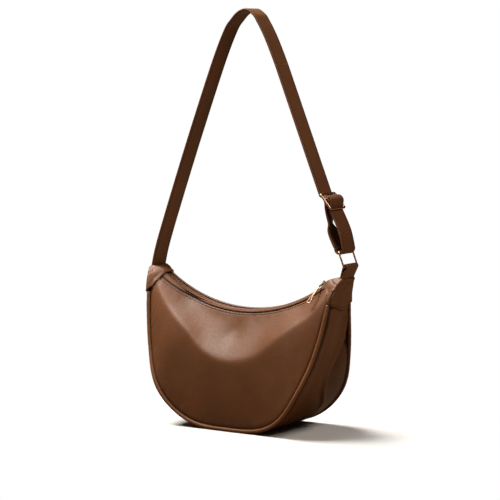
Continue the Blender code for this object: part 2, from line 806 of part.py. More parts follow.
def zip_pull(parent, home, helpers):
    """The eye, the cranked neck and the blade of the pull, turning on the crown."""
    pivot = in_slider(0.0, 0.0, CROWN_RISE)
    ring = EYE_HOLE_RADIUS + EYE_WIRE_RADIUS
    circle = []
    for degrees in spread(EYE_COLUMNS + 1, 0.0, 360.0)[:-1]:
        turn = math.radians(degrees)
        circle.append(Vector((0.0, ring * math.cos(turn), ring * math.sin(turn))))
    eye = as_mesh(wire("zip_pull", circle, EYE_WIRE_RADIUS, home, None, closed=True))
    neck_turn = Matrix.Rotation(math.radians(NECK_DROP_DEG), 4, "X")
    neck_length = NECK_REACH - ring
    neck_centre = (0.0, -(ring + neck_length / 2), 0.0)
    neck = box("zip_pull_neck", (NECK_WIDTH, neck_length, PULL_THICKNESS), neck_centre, home)
    neck.data.transform(neck_turn)
    blade = as_mesh(flat_outline("zip_pull_blade", blade_outlines(), PULL_THICKNESS, home))
    blade_turn = Matrix.Rotation(math.radians(BLADE_DROP_DEG), 4, "X")
    lean = Matrix.Rotation(math.radians(-BLADE_LEAN_DEG), 4, "Z")
    knee = neck_turn @ Vector((0.0, -NECK_REACH, 0.0))
    blade.data.transform(Matrix.Translation(knee) @ blade_turn @ lean)
    for piece in (eye, neck, blade):
        piece.data.transform(Matrix.Translation(pivot))
        carry(piece, pivot, parent)
    eye.data.materials.append(metal("zip_pull"))
    join(eye, [neck, blade], helpers)


def blade_outlines():
    """The blade, which widens to an open four-sided end, hanging along -Y."""
    top = BLADE_TOP_HALF
    end = BLADE_END_HALF
    start = BLADE_LENGTH - BLADE_OPEN_LENGTH
    outer = [
        (-top, PULL_THICKNESS / 2), (-top, -start), (-end, -BLADE_LENGTH + BLADE_CORNER),
        (-end + BLADE_CORNER, -BLADE_LENGTH), (end - BLADE_CORNER, -BLADE_LENGTH),
        (end, -BLADE_LENGTH + BLADE_CORNER), (top, -start), (top, PULL_THICKNESS / 2),
    ]
    low = -BLADE_LENGTH + BLADE_WALL
    high = -start - BLADE_WALL
    wide = BLADE_OPEN_END_SHARE * end
    narrow = BLADE_OPEN_TOP_SHARE * top
    hole = [(-wide, low), (wide, low), (narrow, high), (-narrow, high)]
    return outer, hole


def in_strap(flat, across):
    """A world place from X and Z in the plane of the strap, and a distance across it."""
    return Vector((flat.x, STRAP_Y + across, flat.y))


def strap_route():
    """The middle of the strap from the left horn over the top to the adjuster, as X and Z."""
    rise = LOOP_TOP - HORN_HEIGHT
    points = [
        Vector((HORN_X * x, HORN_HEIGHT + rise * z)) for x, z in zip(ROUTE_X_SHARES, ROUTE_Z_SHARES)
    ]
    return smooth_line(points, ROUTE_STEPS)


def ribbon(name, points, width, thickness, home, finish, twists=None):
    """A flat strip along a line in the plane of the strap."""
    columns = []
    for number, flat in enumerate(points):
        turn = math.radians(twists[number]) if twists else 0.0
        column = []
        for side in (-1, 1):
            point = in_strap(flat, side * width / 2 * math.cos(turn))
            point.x += side * width / 2 * math.sin(turn)
            column.append(point)
        columns.append(column)
    made = sheet(name, columns, thickness, 0, home, finish)
    made.modifiers["Wall"].use_even_offset = True
    return made


def frame_direction():
    """Down the adjuster's frame, and outwards from its face, as X and Z."""
    turn = math.radians(ADJUSTER_LEAN_DEG)
    down = Vector((math.sin(turn), -math.cos(turn)))
    return down, Vector((-down.y, down.x))


def belt(rounds):
    """A line that runs round circles in turn: each has a centre, a radius and a side.

    The side is 1 where the circle lies to the left of the line's travel and -1 to the right.
    """
    tangents = []
    for (a, a_radius, a_side), (b, b_radius, b_side) in zip(rounds, rounds[1:]):
        run = b - a
        lift = (b_side * b_radius - a_side * a_radius) / run.length
        heading = math.atan2(run.y, run.x) - math.asin(lift)
        left = Vector((-math.sin(heading), math.cos(heading)))
        tangents.append((a - left * a_side * a_radius, b - left * b_side * b_radius, heading))
    points = [tangents[0][0]]
    for number in range(1, len(rounds) - 1):
        centre, radius, side = rounds[number]
        arriving = tangents[number - 1][2]
        leaving = tangents[number][2]
        turn = (leaving - arriving) * side % (2 * math.pi)
        if math.degrees(turn) > WHOLE_TURN_DEG:
            turn = 0.0
        steps = max(1, math.ceil(math.degrees(turn) / ARC_STEP_DEG))
        for step in range(steps + 1):
            heading = arriving + side * turn * step / steps
            left = Vector((-math.sin(heading), math.cos(heading)))
            points.append(centre - left * side * radius)
    points.append(tangents[-1][1])
    return points


def adjuster_bars():
    """Centres of the upper, middle and lower bars, as X and Z."""
    down, _ = frame_direction()
    centre = Vector((HORN_X - ADJUSTER_SETBACK, HORN_HEIGHT + ADJUSTER_RISE))
    return centre - down * ADJUSTER_PITCH, centre, centre + down * ADJUSTER_PITCH


def ring_bars():
    """Centres of the upper and lower bars of the ring, as X and Z."""
    turn = math.radians(RING_LEAN_DEG)
    low = Vector((HORN_X + RING_STEP_OUT, HORN_HEIGHT + RING_RISE))
    return low + Vector((-math.sin(turn), math.cos(turn))) * RING_PITCH, low


def turn_centre():
    """Where the strap turns round the ring's upper bar, as X and Z."""
    top, low = ring_bars()
    play = TURN_RADIUS - STRAP / 2 - BAR_GAP - RING_WIRE_RADIUS
    return top + (top - low).normalized() * play


def strap_pieces(parent, home):
    """The strap, in the stretches that bend apart from each other when it is used."""
    route = strap_route()
    top = LOOP_TOP - HORN_HEIGHT
    flex_z = HORN_HEIGHT + STRAP_FLEX
    run_z = HORN_HEIGHT + RUN_TOP_SHARE * top
    apex = max(range(len(route)), key=lambda number: route[number].y)
    flex_end = next(number for number, point in enumerate(route) if point.y > flex_z)
    run_start = next(n for n in range(apex, len(route)) if route[n].y < run_z)
    tail = Vector((TAIL_LEAN_SHARE * STRAP_TAIL - HORN_X, HORN_HEIGHT - STRAP_TAIL))

    base = resample([tail] + route[: flex_end + 1], LEG_COLUMNS)
    ribbon("strap_left_base", base, STRAP_WIDTH, STRAP, home, leather("strap_left_base"))

    cut = route[flex_end] + (route[flex_end + 1] - route[flex_end]).normalized() * GAP
    main = resample([cut] + route[flex_end + 1 : run_start + 1], LOOP_COLUMNS)
    loop = ribbon("strap_shoulder_loop", main, STRAP_WIDTH, STRAP, home, leather("strap_shoulder_loop"))

    upper, middle, lower = adjuster_bars()
    seat = ADJUSTER_WIRE_RADIUS + BAR_GAP + STRAP / 2
    over = seat + GAP + STRAP
    step = (route[run_start + 1] - route[run_start]).normalized() * GAP
    start = route[run_start] + step
    hub = turn_centre()
    aside = Vector((TURN_RADIUS, 0.0))
    leg = mix(lower, hub + aside, OUTER_BOW_SHARE) + Vector((OUTER_BOW, 0.0))
    woven = belt([(start, 0.0, 1), (upper, seat, 1), (middle, over, -1), (lower, seat, 1), (leg, 0.0, 1)])
    straight = resample(woven[:2], LEG_COLUMNS)
    bends = woven[2:-1]
    cut_off = mix(woven[-2], woven[-1], OUTER_JOINT_SHARE)
    run_points = straight + bends + [cut_off]
    run = ribbon("strap_right_run", run_points, STRAP_WIDTH, STRAP, home, leather("strap_right_run"))

    outer = [cut_off + (leg - cut_off).normalized() * GAP, leg]
    turn_points = []
    for degrees in spread(TURN_COLUMNS, 0.0, -180.0):
        turn = math.radians(degrees)
        turn_points.append(hub + Vector((math.cos(turn), math.sin(turn))) * TURN_RADIUS)
    down_leg = smooth_line(outer + [turn_points[0]], LEG_COLUMNS // 2)[:-1]
    _, out = frame_direction()
    arrive = middle - out * seat
    inner = [turn_points[-1]]
    for share in INNER_BOW_SHARES:
        inner.append(mix(hub - aside, arrive, share) - Vector((INNER_BOW, 0.0)))
    up_leg = smooth_line(inner + [arrive], LEG_COLUMNS // 2)[1:-1]
    wrap = []
    inward = math.atan2(-out.y, -out.x)
    for degrees in spread(WRAP_COLUMNS, 0.0, -END_WRAP_DEG):
        turn = inward + math.radians(degrees)
        wrap.append(middle + Vector((math.cos(turn), math.sin(turn))) * seat)
    points = down_leg + turn_points + up_leg + wrap
    twists = [0.0] * (len(down_leg) + len(turn_points))
    for share in spread(len(up_leg), 0.0, 1.0):
        twists.append(INNER_TWIST_DEG * math.sin(math.pi * share**INNER_TWIST_POWER_SHARE) ** 2)
    twists += [0.0] * len(wrap)
    lower_loop = ribbon(
        "strap_lower_loop", points, STRAP_WIDTH, STRAP, home, leather("strap_lower_loop"), twists
    )
    for piece in (loop, run, lower_loop):
        carry(piece, parent.location.copy(), parent)


def framed_wire(name, top, low, half_width, corner, radius, home, finish):
    """A four-sided wire frame between two bars, with rounded corners."""
    down = (low - top).normalized()
    length = (low - top).length
    centre = (top + low) / 2
    points = []
    for a, b, start in ((-1, 1, 0.0), (-1, -1, 90.0), (1, -1, 180.0), (1, 1, 270.0)):
        for degrees in spread(WIRE_CORNER_STEPS, start, start + 90.0):
            turn = math.radians(degrees)
            along = a * (length / 2 - corner) - corner * math.sin(turn)
            across = b * (half_width - corner) + corner * math.cos(turn)
            points.append(in_strap(centre + down * along, across))
    return wire(name, points, radius, home, finish, closed=True)


def strap_adjuster(parent, home, helpers):
    """The sliding frame with its centre bar."""
    name = "strap_adjuster"
    upper, middle, lower = adjuster_bars()
    frame = as_mesh(
        framed_wire(
            name, upper, lower, ADJUSTER_HALF_WIDTH, ADJUSTER_CORNER, ADJUSTER_WIRE_RADIUS, home, None
        )
    )
    ends = [in_strap(middle, side * ADJUSTER_HALF_WIDTH) for side in (-1, 1)]
    bar = as_mesh(wire(name + "_bar", ends, ADJUSTER_WIRE_RADIUS, home, None))
    frame.data.materials.clear()
    frame.data.materials.append(metal(name))
    for piece in (frame, bar):
        carry(piece, in_strap(middle, 0.0), parent)
    join(frame, [bar], helpers)


def strap_ring(parent, home):
    """The thin four-sided ring between the strap and the tab."""
    top, low = ring_bars()
    ring = framed_wire(
        "strap_ring", top, low, RING_HALF_WIDTH, RING_CORNER, RING_WIRE_RADIUS, home, metal("strap_ring")
    )
    carry(ring, in_strap(low, 0.0), parent)


def ring_tab(home):
    """The leather tab that folds round the ring's lower bar and is sewn into the right cap."""
    _, low = ring_bars()
    seat = RING_WIRE_RADIUS + BAR_GAP + TAB / 2
    apart = (TAB + GAP) / 2
    foot = Vector((HORN_X - TAIL_LEAN_SHARE * TAB_TAIL, HORN_HEIGHT - TAB_TAIL))
    rounds = [
        (Vector((HORN_X - apart, HORN_HEIGHT)), 0.0, -1),
        (low, seat, -1),
        (Vector((HORN_X + apart, HORN_HEIGHT)), 0.0, -1),
    ]
    folded = belt(rounds)
    aside = Vector((apart, 0.0))
    points = [foot - aside] + folded + [foot + aside]
    return ribbon("ring_tab", points, TAB_WIDTH, TAB, home, leather("ring_tab"))


def build():
    for old in list(bpy.data.objects):
        bpy.data.objects.remove(old)
    home = collection("crescent_shoulder_bag")
    helpers = collection("cutters")
    zip_axis = axis_empty("zip_axis", Vector((0.0, ZIP_Y, ARC_CENTRE_Z)), home)
    strap_axis = axis_empty("strap_axis", Vector((0.0, STRAP_Y, HORN_HEIGHT)), home)

    panel("front_panel", -1, home)
    panel("back_panel", 1, home)
    gusset(home)
    piping("front_piping", -1, home)
    piping("back_piping", 1, home)
    left_slot = (STRAP / 2 + CAP_SLOT_CLEARANCE, STRAP_WIDTH / 2 + CAP_SLOT_SIDE)
    right_slot = (TAB + CAP_SLOT_CLEARANCE, TAB_WIDTH / 2 + CAP_SLOT_SIDE)
    horn_cap("left_horn_cap", -1, *left_slot, home)
    horn_cap("right_horn_cap", 1, *right_slot, home)
    lining(home)
    slip_pocket(home)

    zip_tape("zip_tape_front", -1, home)
    zip_tape("zip_tape_back", 1, home)
    zip_teeth("zip_teeth_front", -1, home)
    zip_teeth("zip_teeth_back", 1, home)
    beyond = SLIDER_REST_DEG + SLIDER_HALF_DEG + GAP_DEG + STOP_DEG / 2
    zip_stop("zip_closed_stop_front", beyond, -BEAD_OUTER, -BEAD_INNER, home)
    zip_stop("zip_closed_stop_back", beyond, BEAD_INNER, BEAD_OUTER, home)
    zip_stop("zip_open_stop", -beyond, -BEAD_OUTER, BEAD_OUTER, home)
    zip_slider(zip_axis, home, helpers)
    zip_pull(zip_axis, home, helpers)

    strap_pieces(strap_axis, home)
    strap_adjuster(strap_axis, home, helpers)
    strap_ring(strap_axis, home)
    ring_tab(home)


build()
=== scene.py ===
"""Dresses the crescent shoulder bag: soft leather shell, stitched seams, zip, strap and metal."""

import json
import math
from bisect import bisect_left
from functools import lru_cache
from itertools import accumulate

import bmesh
import bpy
from bpy.props import FloatProperty, FloatVectorProperty, PointerProperty
from mathutils import Matrix, Vector, noise
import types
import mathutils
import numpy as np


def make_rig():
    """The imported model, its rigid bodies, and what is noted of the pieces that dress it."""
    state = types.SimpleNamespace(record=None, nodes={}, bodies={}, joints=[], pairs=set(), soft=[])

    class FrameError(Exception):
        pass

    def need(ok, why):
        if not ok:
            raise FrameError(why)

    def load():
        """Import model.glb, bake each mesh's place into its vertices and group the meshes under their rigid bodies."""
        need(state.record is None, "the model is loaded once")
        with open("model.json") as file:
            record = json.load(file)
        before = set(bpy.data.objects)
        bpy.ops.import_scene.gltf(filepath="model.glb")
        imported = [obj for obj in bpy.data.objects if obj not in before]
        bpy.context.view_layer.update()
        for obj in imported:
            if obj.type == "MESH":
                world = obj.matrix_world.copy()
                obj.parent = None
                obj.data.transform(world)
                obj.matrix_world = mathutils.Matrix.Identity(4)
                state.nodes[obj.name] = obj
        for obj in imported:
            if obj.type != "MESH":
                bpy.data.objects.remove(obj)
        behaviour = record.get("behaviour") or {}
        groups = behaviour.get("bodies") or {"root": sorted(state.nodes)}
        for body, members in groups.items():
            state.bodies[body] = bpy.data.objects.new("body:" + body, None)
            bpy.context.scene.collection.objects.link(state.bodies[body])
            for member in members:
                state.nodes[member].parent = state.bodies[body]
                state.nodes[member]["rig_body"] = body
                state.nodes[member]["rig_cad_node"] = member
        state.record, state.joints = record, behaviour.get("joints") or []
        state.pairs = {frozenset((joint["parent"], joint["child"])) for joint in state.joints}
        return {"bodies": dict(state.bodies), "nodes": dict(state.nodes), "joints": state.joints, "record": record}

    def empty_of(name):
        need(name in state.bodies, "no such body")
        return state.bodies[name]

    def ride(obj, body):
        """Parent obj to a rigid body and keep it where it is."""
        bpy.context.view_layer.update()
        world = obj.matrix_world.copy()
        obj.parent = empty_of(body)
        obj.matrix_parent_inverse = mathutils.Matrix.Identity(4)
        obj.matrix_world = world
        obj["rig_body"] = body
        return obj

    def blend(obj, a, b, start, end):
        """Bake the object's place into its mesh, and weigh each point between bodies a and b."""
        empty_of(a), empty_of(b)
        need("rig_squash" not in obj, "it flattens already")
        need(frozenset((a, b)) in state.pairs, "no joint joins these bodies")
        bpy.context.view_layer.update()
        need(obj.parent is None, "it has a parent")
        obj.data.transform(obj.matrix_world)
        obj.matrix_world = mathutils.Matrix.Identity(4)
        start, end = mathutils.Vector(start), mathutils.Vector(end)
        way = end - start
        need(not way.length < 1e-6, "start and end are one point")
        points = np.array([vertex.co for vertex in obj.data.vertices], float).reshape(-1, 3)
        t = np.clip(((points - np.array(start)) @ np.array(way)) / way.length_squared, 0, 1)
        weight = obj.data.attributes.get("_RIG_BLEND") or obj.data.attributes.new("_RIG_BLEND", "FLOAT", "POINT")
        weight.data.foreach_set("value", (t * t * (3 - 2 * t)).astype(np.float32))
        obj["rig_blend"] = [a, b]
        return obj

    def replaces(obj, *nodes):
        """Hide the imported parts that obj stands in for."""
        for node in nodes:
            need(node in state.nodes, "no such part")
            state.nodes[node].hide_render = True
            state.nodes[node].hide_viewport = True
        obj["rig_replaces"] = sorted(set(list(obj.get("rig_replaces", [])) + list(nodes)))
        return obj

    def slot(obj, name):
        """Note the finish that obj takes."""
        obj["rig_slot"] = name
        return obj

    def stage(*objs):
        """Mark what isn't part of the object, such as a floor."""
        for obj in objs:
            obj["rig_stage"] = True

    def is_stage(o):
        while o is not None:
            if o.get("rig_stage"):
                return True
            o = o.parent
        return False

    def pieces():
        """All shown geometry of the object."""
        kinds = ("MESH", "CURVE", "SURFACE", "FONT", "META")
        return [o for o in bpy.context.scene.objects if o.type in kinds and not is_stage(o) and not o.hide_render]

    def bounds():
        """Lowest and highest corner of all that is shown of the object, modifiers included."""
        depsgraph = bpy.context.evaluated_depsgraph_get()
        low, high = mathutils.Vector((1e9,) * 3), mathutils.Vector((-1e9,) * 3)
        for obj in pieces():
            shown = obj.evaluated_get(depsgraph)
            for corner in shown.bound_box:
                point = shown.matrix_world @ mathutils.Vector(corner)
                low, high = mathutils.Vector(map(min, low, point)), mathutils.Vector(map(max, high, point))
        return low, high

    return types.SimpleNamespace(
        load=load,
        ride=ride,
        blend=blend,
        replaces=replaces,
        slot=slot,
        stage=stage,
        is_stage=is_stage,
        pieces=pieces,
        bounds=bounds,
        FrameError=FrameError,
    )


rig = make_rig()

bl_info = {
    "name": "Crescent Shoulder Bag",
    "version": (1, 0, 0),
    "blender": (4, 5, 0),
    "location": "3D View > Sidebar > Bag",
    "description": "Builds the leather, stitches, zip and hardware of a crescent shoulder bag",
    "category": "Object",
}

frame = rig.load()
cad_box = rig.bounds()

# Body, as the solids have it
BODY_HALF_WIDTH = 0.142
OUTLINE_HEIGHT = 0.355
OUTLINE_POWER = 3.1
BASE_SINK = 0.002
SEAM_END_HEIGHT = 0.1755
HORN_HEIGHT = 0.198
HORN_X = 0.1425
HALF_DEPTH = 0.0605
HORN_HALF_DEPTH = 0.020
DEPTH_SHARES = (0.89, 1.0, 0.605, 0.247, 0.0)
LEAN = 0.0105
PIPING_RADIUS = 0.0025
ZIP_Y = -LEAN
ZIP_LOW = 0.1497
ZIP_RADIUS = 0.211027
ARC_CENTRE_Z = ZIP_LOW + ZIP_RADIUS
PANEL_END_DEG = 36.5495
CAP_EDGE_SHARE = 0.97
RIM_OUTER = 0.0090
SEAM_STEPS = 240
SEAM_SOFTENING = 400

# Strap and hardware, as the solids have them
STRAP_Y = -0.004
STRAP_WIDTH = 0.030
STRAP = 0.0026
LOOP_TOP = 0.5287
ROUTE_X = (
    -1.0, -0.938, -0.738, -0.532, -0.32, -0.197, -0.13, -0.06, 0.021,
    0.092, 0.136, 0.236, 0.392, 0.541, 0.681, 0.783,
)
ROUTE_Z = (
    0.0, 0.1, 0.3405, 0.5767, 0.809, 0.9232, 0.961, 0.989, 1.0,
    0.983, 0.9598, 0.8842, 0.734, 0.5842, 0.4355, 0.3245,
)
ADJUSTER_CENTRE = Vector((0.1224, 0.2925))
ADJUSTER_LEAN = math.radians(40.4)
ADJUSTER_PITCH = 0.01135
ADJUSTER_WIRE = 0.0015
ADJUSTER_HALF = 0.0171
RING_LOW = Vector((0.1482, 0.213))
RING_LEAN = math.radians(21.4)
RING_PITCH = 0.0205
RING_WIRE = 0.0011
RING_HALF = 0.0166
TURN_RADIUS = 0.0056
RING_TURN_REACH = 0.022
BAR_GAP = 0.0004
TAB_WIDTH = 0.0275
TAB = 0.0022
SLIDER_DEG = 0.926 * PANEL_END_DEG
CROWN_RISE = 0.0064

# Leather, its painted shade, and stitches
SKIN = 0.0014
# How dark the painted shade in grooves, seams and recesses makes the leather, as a share of its colour
GROOVE_SHADE = 0.12
STITCH_INSET = 0.0026
STITCH_SLANTS = (-0.04, 0.08)
STITCH_RISE = 0.12
STITCH_FLATNESS = 0.42
WELD = 0.00001
BATCH = 100
WHITE = (1.0, 1.0, 1.0, 1.0)


def mix(a, b, share):
    return a + (b - a) * share


def spread(count, low=0.0, high=1.0):
    return [mix(low, high, step / (count - 1)) for step in range(count)]


def bell(distance, width):
    """1 at no distance, falling smoothly to 0 over a few widths."""
    return math.exp(-((distance / width) ** 2))


def ease(share):
    share = min(max(share, 0.0), 1.0)
    return share * share * (3 - 2 * share)


def curve_through(values, place):
    """Smooth value at a place from 0 to 1 along evenly spaced values."""
    steps = len(values) - 1
    along = min(max(place, 0.0), 1.0) * steps
    low = min(int(along), steps - 1)
    part = along - low
    before, start = values[max(low - 1, 0)], values[low]
    end, after = values[low + 1], values[min(low + 2, steps)]
    square = before - 2.5 * start + 2 * end - after / 2
    cube = 1.5 * (start - end) + (after - before) / 2
    return start + part * ((end - before) / 2 + part * (square + part * cube))


def arc(count, first, last):
    """Directions round a circle, from one angle in degrees to another."""
    turns = [math.radians(degrees) for degrees in spread(count, first, last)]
    return [(math.cos(turn), math.sin(turn)) for turn in turns]


def lengths_along(points):
    """How far along a line each of its points lies."""
    return list(accumulate(((b - a).length for a, b in zip(points, points[1:])), initial=0.0))


def span(lengths, want):
    """Where a length along a line lies: the number of its stretch and the share of it."""
    low = min(max(bisect_left(lengths, want) - 1, 0), len(lengths) - 2)
    return low, (want - lengths[low]) / max(lengths[low + 1] - lengths[low], 1e-9)


def resample(points, count):
    """The same line with evenly spaced points."""
    lengths = lengths_along(points)
    made = []
    for share in spread(count):
        low, part = span(lengths, share * lengths[-1])
        made.append(mix(points[low], points[low + 1], part))
    return made


def smooth_line(points, fine):
    steps = (len(points) - 1) * fine
    return [curve_through(points, step / steps) for step in range(steps + 1)]


def ripple(place, scale, seed=0.0):
    """Smooth noise from -1 to 1 at a place in metres."""
    return noise.noise(Vector(place) * scale + Vector((seed, seed * 1.7, -seed)))


def seam_half():
    power = OUTLINE_POWER / 2
    first = math.acos((1 - BASE_SINK / OUTLINE_HEIGHT) ** power)
    rise = SEAM_END_HEIGHT - PIPING_RADIUS + BASE_SINK
    last = math.acos((1 - rise / OUTLINE_HEIGHT) ** power)
    points = [Vector((0.0, PIPING_RADIUS))]
    for turn in spread(SEAM_STEPS, first, last):
        across = BODY_HALF_WIDTH * math.sin(turn) ** (1 / power)
        up = OUTLINE_HEIGHT * (1 - math.cos(turn) ** (1 / power))
        points.append(Vector((across, PIPING_RADIUS - BASE_SINK + up)))
    points = resample(points, SEAM_STEPS)
    for _ in range(SEAM_SOFTENING):
        softer = [(a + 2 * b + c) / 4 for a, b, c in zip(points, points[1:], points[2:])]
        points[1:-1] = [Vector((p.x, max(p.y, PIPING_RADIUS))) for p in softer]
    return resample(points, SEAM_STEPS)


SEAM_HALF = seam_half()
SEAM_LENGTH = 2 * sum((b - a).length for a, b in zip(SEAM_HALF, SEAM_HALF[1:]))


@lru_cache(maxsize=None)
def seam(t):
    along = min(abs(t), 1.0) * (len(SEAM_HALF) - 1)
    low = min(int(along), len(SEAM_HALF) - 2)
    point = mix(SEAM_HALF[low], SEAM_HALF[low + 1], along - low)
    return Vector((math.copysign(point.x, t), point.y))


@lru_cache(maxsize=None)
def seam_outward(t):
    run = seam(min(t + 0.006, 1.0)) - seam(max(t - 0.006, -1.0))
    return Vector((run.y, -run.x)).normalized()


@lru_cache(maxsize=None)
def half_depth(z):
    return mix(HORN_HALF_DEPTH, HALF_DEPTH, curve_through(DEPTH_SHARES, z / HORN_HEIGHT))


def middle_y(z):
    return -LEAN * min(z / ZIP_LOW, 1.0)


def on_zip(degrees, across, lift):
    """A world place by its angle along the zip, its distance across and its lift."""
    turn = math.radians(degrees)
    reach = ZIP_RADIUS - lift
    return Vector((reach * math.sin(turn), ZIP_Y + across, ARC_CENTRE_Z - reach * math.cos(turn)))


@lru_cache(maxsize=None)
def panel_height(t):
    """How far the zip lies from the seam, square to the seam."""
    end = on_zip(t * PANEL_END_DEG, 0.0, 0.0)
    return (seam(t) - Vector((end.x, end.z))).dot(seam_outward(t))


@lru_cache(maxsize=None)
def zip_reach(t):
    """How far the seam lies from the zip, square to the zip."""
    return (seam(t) - Vector((0.0, ARC_CENTRE_Z))).length - ZIP_RADIUS


# Leather forms


class BagForm(bpy.types.PropertyGroup):
    """How full and how folded the leather is."""

    front_bulge: FloatProperty(
        name="Front bulge", description="How far the front panel swells", default=0.026,
        min=0.0, max=0.04, unit="LENGTH",
    )
    back_bulge: FloatProperty(
        name="Back bulge", description="How far the back panel swells", default=0.013,
        min=0.0, max=0.03, unit="LENGTH",
    )
    ridge_softness: FloatProperty(
        name="Ridge softness", description="Roundness of the front panel's ridge", default=0.035,
        min=0.01, max=0.3, subtype="FACTOR",
    )
    pleat_depth: FloatProperty(
        name="Pleat depth", description="How far the gusset folds in", default=0.019,
        min=0.0, max=0.03, unit="LENGTH",
    )
    pucker: FloatProperty(
        name="Pucker", description="Height of the small gathers beside the seams", default=0.00028,
        min=0.0, max=0.001, unit="LENGTH",
    )


class BagStitch(bpy.types.PropertyGroup):
    """Thread of the seams."""

    pitch: FloatProperty(
        name="Pitch", description="From one stitch to the next", default=0.0034, min=0.001,
        max=0.01, unit="LENGTH",
    )
    length: FloatProperty(
        name="Length", description="Length of one stitch", default=0.0026, min=0.001,
        max=0.01, unit="LENGTH",
    )
    thread: FloatProperty(
        name="Thread", description="Thickness of the thread", default=0.00065, min=0.0002,
        max=0.002, unit="LENGTH",
    )


class BagLook(bpy.types.PropertyGroup):
    """Colours and finishes."""

    leather: FloatVectorProperty(
        name="Leather", description="Colour of the leather", default=(0.158, 0.0605, 0.0228),
        size=3, min=0.0, max=1.0, subtype="COLOR",
    )
    leather_roughness: FloatProperty(
        name="Leather roughness", description="How dull the leather is", default=0.5,
        min=0.0, max=1.0, subtype="FACTOR",
    )
    grain: FloatProperty(
        name="Grain", description="Width of a cell of the leather's grain", default=0.0009,
        min=0.0002, max=0.004, unit="LENGTH",
    )
    thread: FloatVectorProperty(
        name="Thread", description="Colour of the stitches", default=(0.048, 0.019, 0.0085),
        size=3, min=0.0, max=1.0, subtype="COLOR",
    )
    tape: FloatVectorProperty(
        name="Zip tape", description="Colour of the zip's tape and teeth",
        default=(0.19, 0.085, 0.042), size=3, min=0.0, max=1.0, subtype="COLOR",
    )
    lining: FloatVectorProperty(
        name="Lining", description="Colour of the lining", default=(0.11, 0.075, 0.052),
        size=3, min=0.0, max=1.0, subtype="COLOR",
    )
    metal: FloatVectorProperty(
        name="Metal", description="Colour of the plated metal", default=(0.70, 0.40, 0.27),
        size=3, min=0.0, max=1.0, subtype="COLOR",
    )
    metal_roughness: FloatProperty(
        name="Metal roughness", description="How dull the metal is", default=0.30,
        min=0.0, max=1.0, subtype="FACTOR",
    )


class BagStage(bpy.types.PropertyGroup):
    """Camera and lights."""

    azimuth: FloatProperty(
        name="Azimuth", description="Camera's turn from the front", default=math.radians(33.0),
        subtype="ANGLE",
    )
    distance: FloatProperty(
        name="Distance", description="Camera's distance on plan", default=2.5, min=0.5,
        unit="LENGTH",
    )
    height: FloatProperty(
        name="Height", description="Camera's height", default=0.465, unit="LENGTH",
    )
    lens: FloatProperty(
        name="Lens", description="Focal length in millimetres", default=142.2, min=20.0,
    )
    key: FloatProperty(
        name="Top light", description="Power of the overhead light", default=84.0, min=0.0,
    )
    fill: FloatProperty(
        name="Fill light", description="Power of the front light", default=0.3, min=0.0,
    )
    side: FloatProperty(
        name="Side light", description="Power of the side light", default=14.5, min=0.0,
    )


# Materials


def connect(tree, target, feeds):
    """Feeds the inputs of a node, by name or number, from other nodes' sockets."""
    for name, source in feeds.items():
        tree.links.new(source, target.inputs[name])


def node(tree, kind, place, feeds=None, **values):
    """A node with its settings, its inputs' values (in_Name) and what feeds them."""
    made = tree.nodes.new(kind)
    made.location = place
    for name, value in values.items():
        if name.startswith("in_"):
            key = name[3:].replace("_", " ")
            made.inputs[int(key) if key.isdigit() else key].default_value = value
        else:
            setattr(made, name, value)
    connect(tree, made, feeds or {})
    return made


def group(name, inputs, outputs):
    """A node group with its sockets, or None if it is already there."""
    if name in bpy.data.node_groups:
        return None
    tree = bpy.data.node_groups.new(name, "ShaderNodeTree")
    for label, value in inputs.items():
        socket = tree.interface.new_socket(
            name=label, in_out="INPUT", socket_type="NodeSocketFloat"
        )
        socket.default_value = value
    for label, kind in outputs.items():
        tree.interface.new_socket(
            name=label, in_out="OUTPUT", socket_type=f"NodeSocket{kind}"
        )
    return tree


def leather_grain():
    """Fine cells and soft wrinkles for a normal, and a mottle for the colour."""
    name = "Leather grain"
    tree = group(
        name, {"Cell": 1000.0, "Wrinkle": 0.3},
        {"Mottle": "Float", "Pore": "Float", "Normal": "Vector"},
    )
    if tree is None:
        return bpy.data.node_groups[name]
    start = node(tree, "NodeGroupInput", (-900, 0)).outputs
    place = node(tree, "ShaderNodeTexCoord", (-900, -200)).outputs["Object"]
    coarser = node(
        tree, "ShaderNodeMath", (-750, -50), {0: start["Cell"]}, operation="MULTIPLY", in_1=0.37
    )
    cells = node(
        tree, "ShaderNodeTexVoronoi", (-600, 200), {"Vector": place, "Scale": start["Cell"]},
        feature="SMOOTH_F1", in_Smoothness=0.6,
    )
    pores = node(
        tree, "ShaderNodeTexNoise", (-600, -50), {"Vector": place, "Scale": coarser.outputs[0]},
        in_Detail=4.0, in_Roughness=0.6,
    )
    folds = node(
        tree, "ShaderNodeTexNoise", (-600, -300), {"Vector": place},
        in_Scale=55.0, in_Detail=3.0, in_Distortion=0.6,
    )
    mottle = node(
        tree, "ShaderNodeTexNoise", (-600, -550), {"Vector": place},
        in_Scale=14.0, in_Detail=5.0, in_Roughness=0.55,
    )
    fine = node(
        tree, "ShaderNodeBump", (-100, 200), {"Height": cells.outputs["Distance"]},
        in_Strength=0.32, in_Distance=0.00012,
    )
    medium = node(
        tree, "ShaderNodeBump", (100, 50),
        {"Height": pores.outputs["Fac"], "Normal": fine.outputs["Normal"]},
        in_Strength=0.25, in_Distance=0.0003,
    )
    soft = node(
        tree, "ShaderNodeBump", (300, -100),
        {
            "Height": folds.outputs["Fac"], "Strength": start["Wrinkle"],
            "Normal": medium.outputs["Normal"],
        },
        in_Distance=0.0012,
    )
    outputs = {"Mottle": mottle.outputs["Fac"], "Pore": pores.outputs["Fac"]}
    node(tree, "NodeGroupOutput", (700, 0), {**outputs, "Normal": soft.outputs["Normal"]})
    return tree


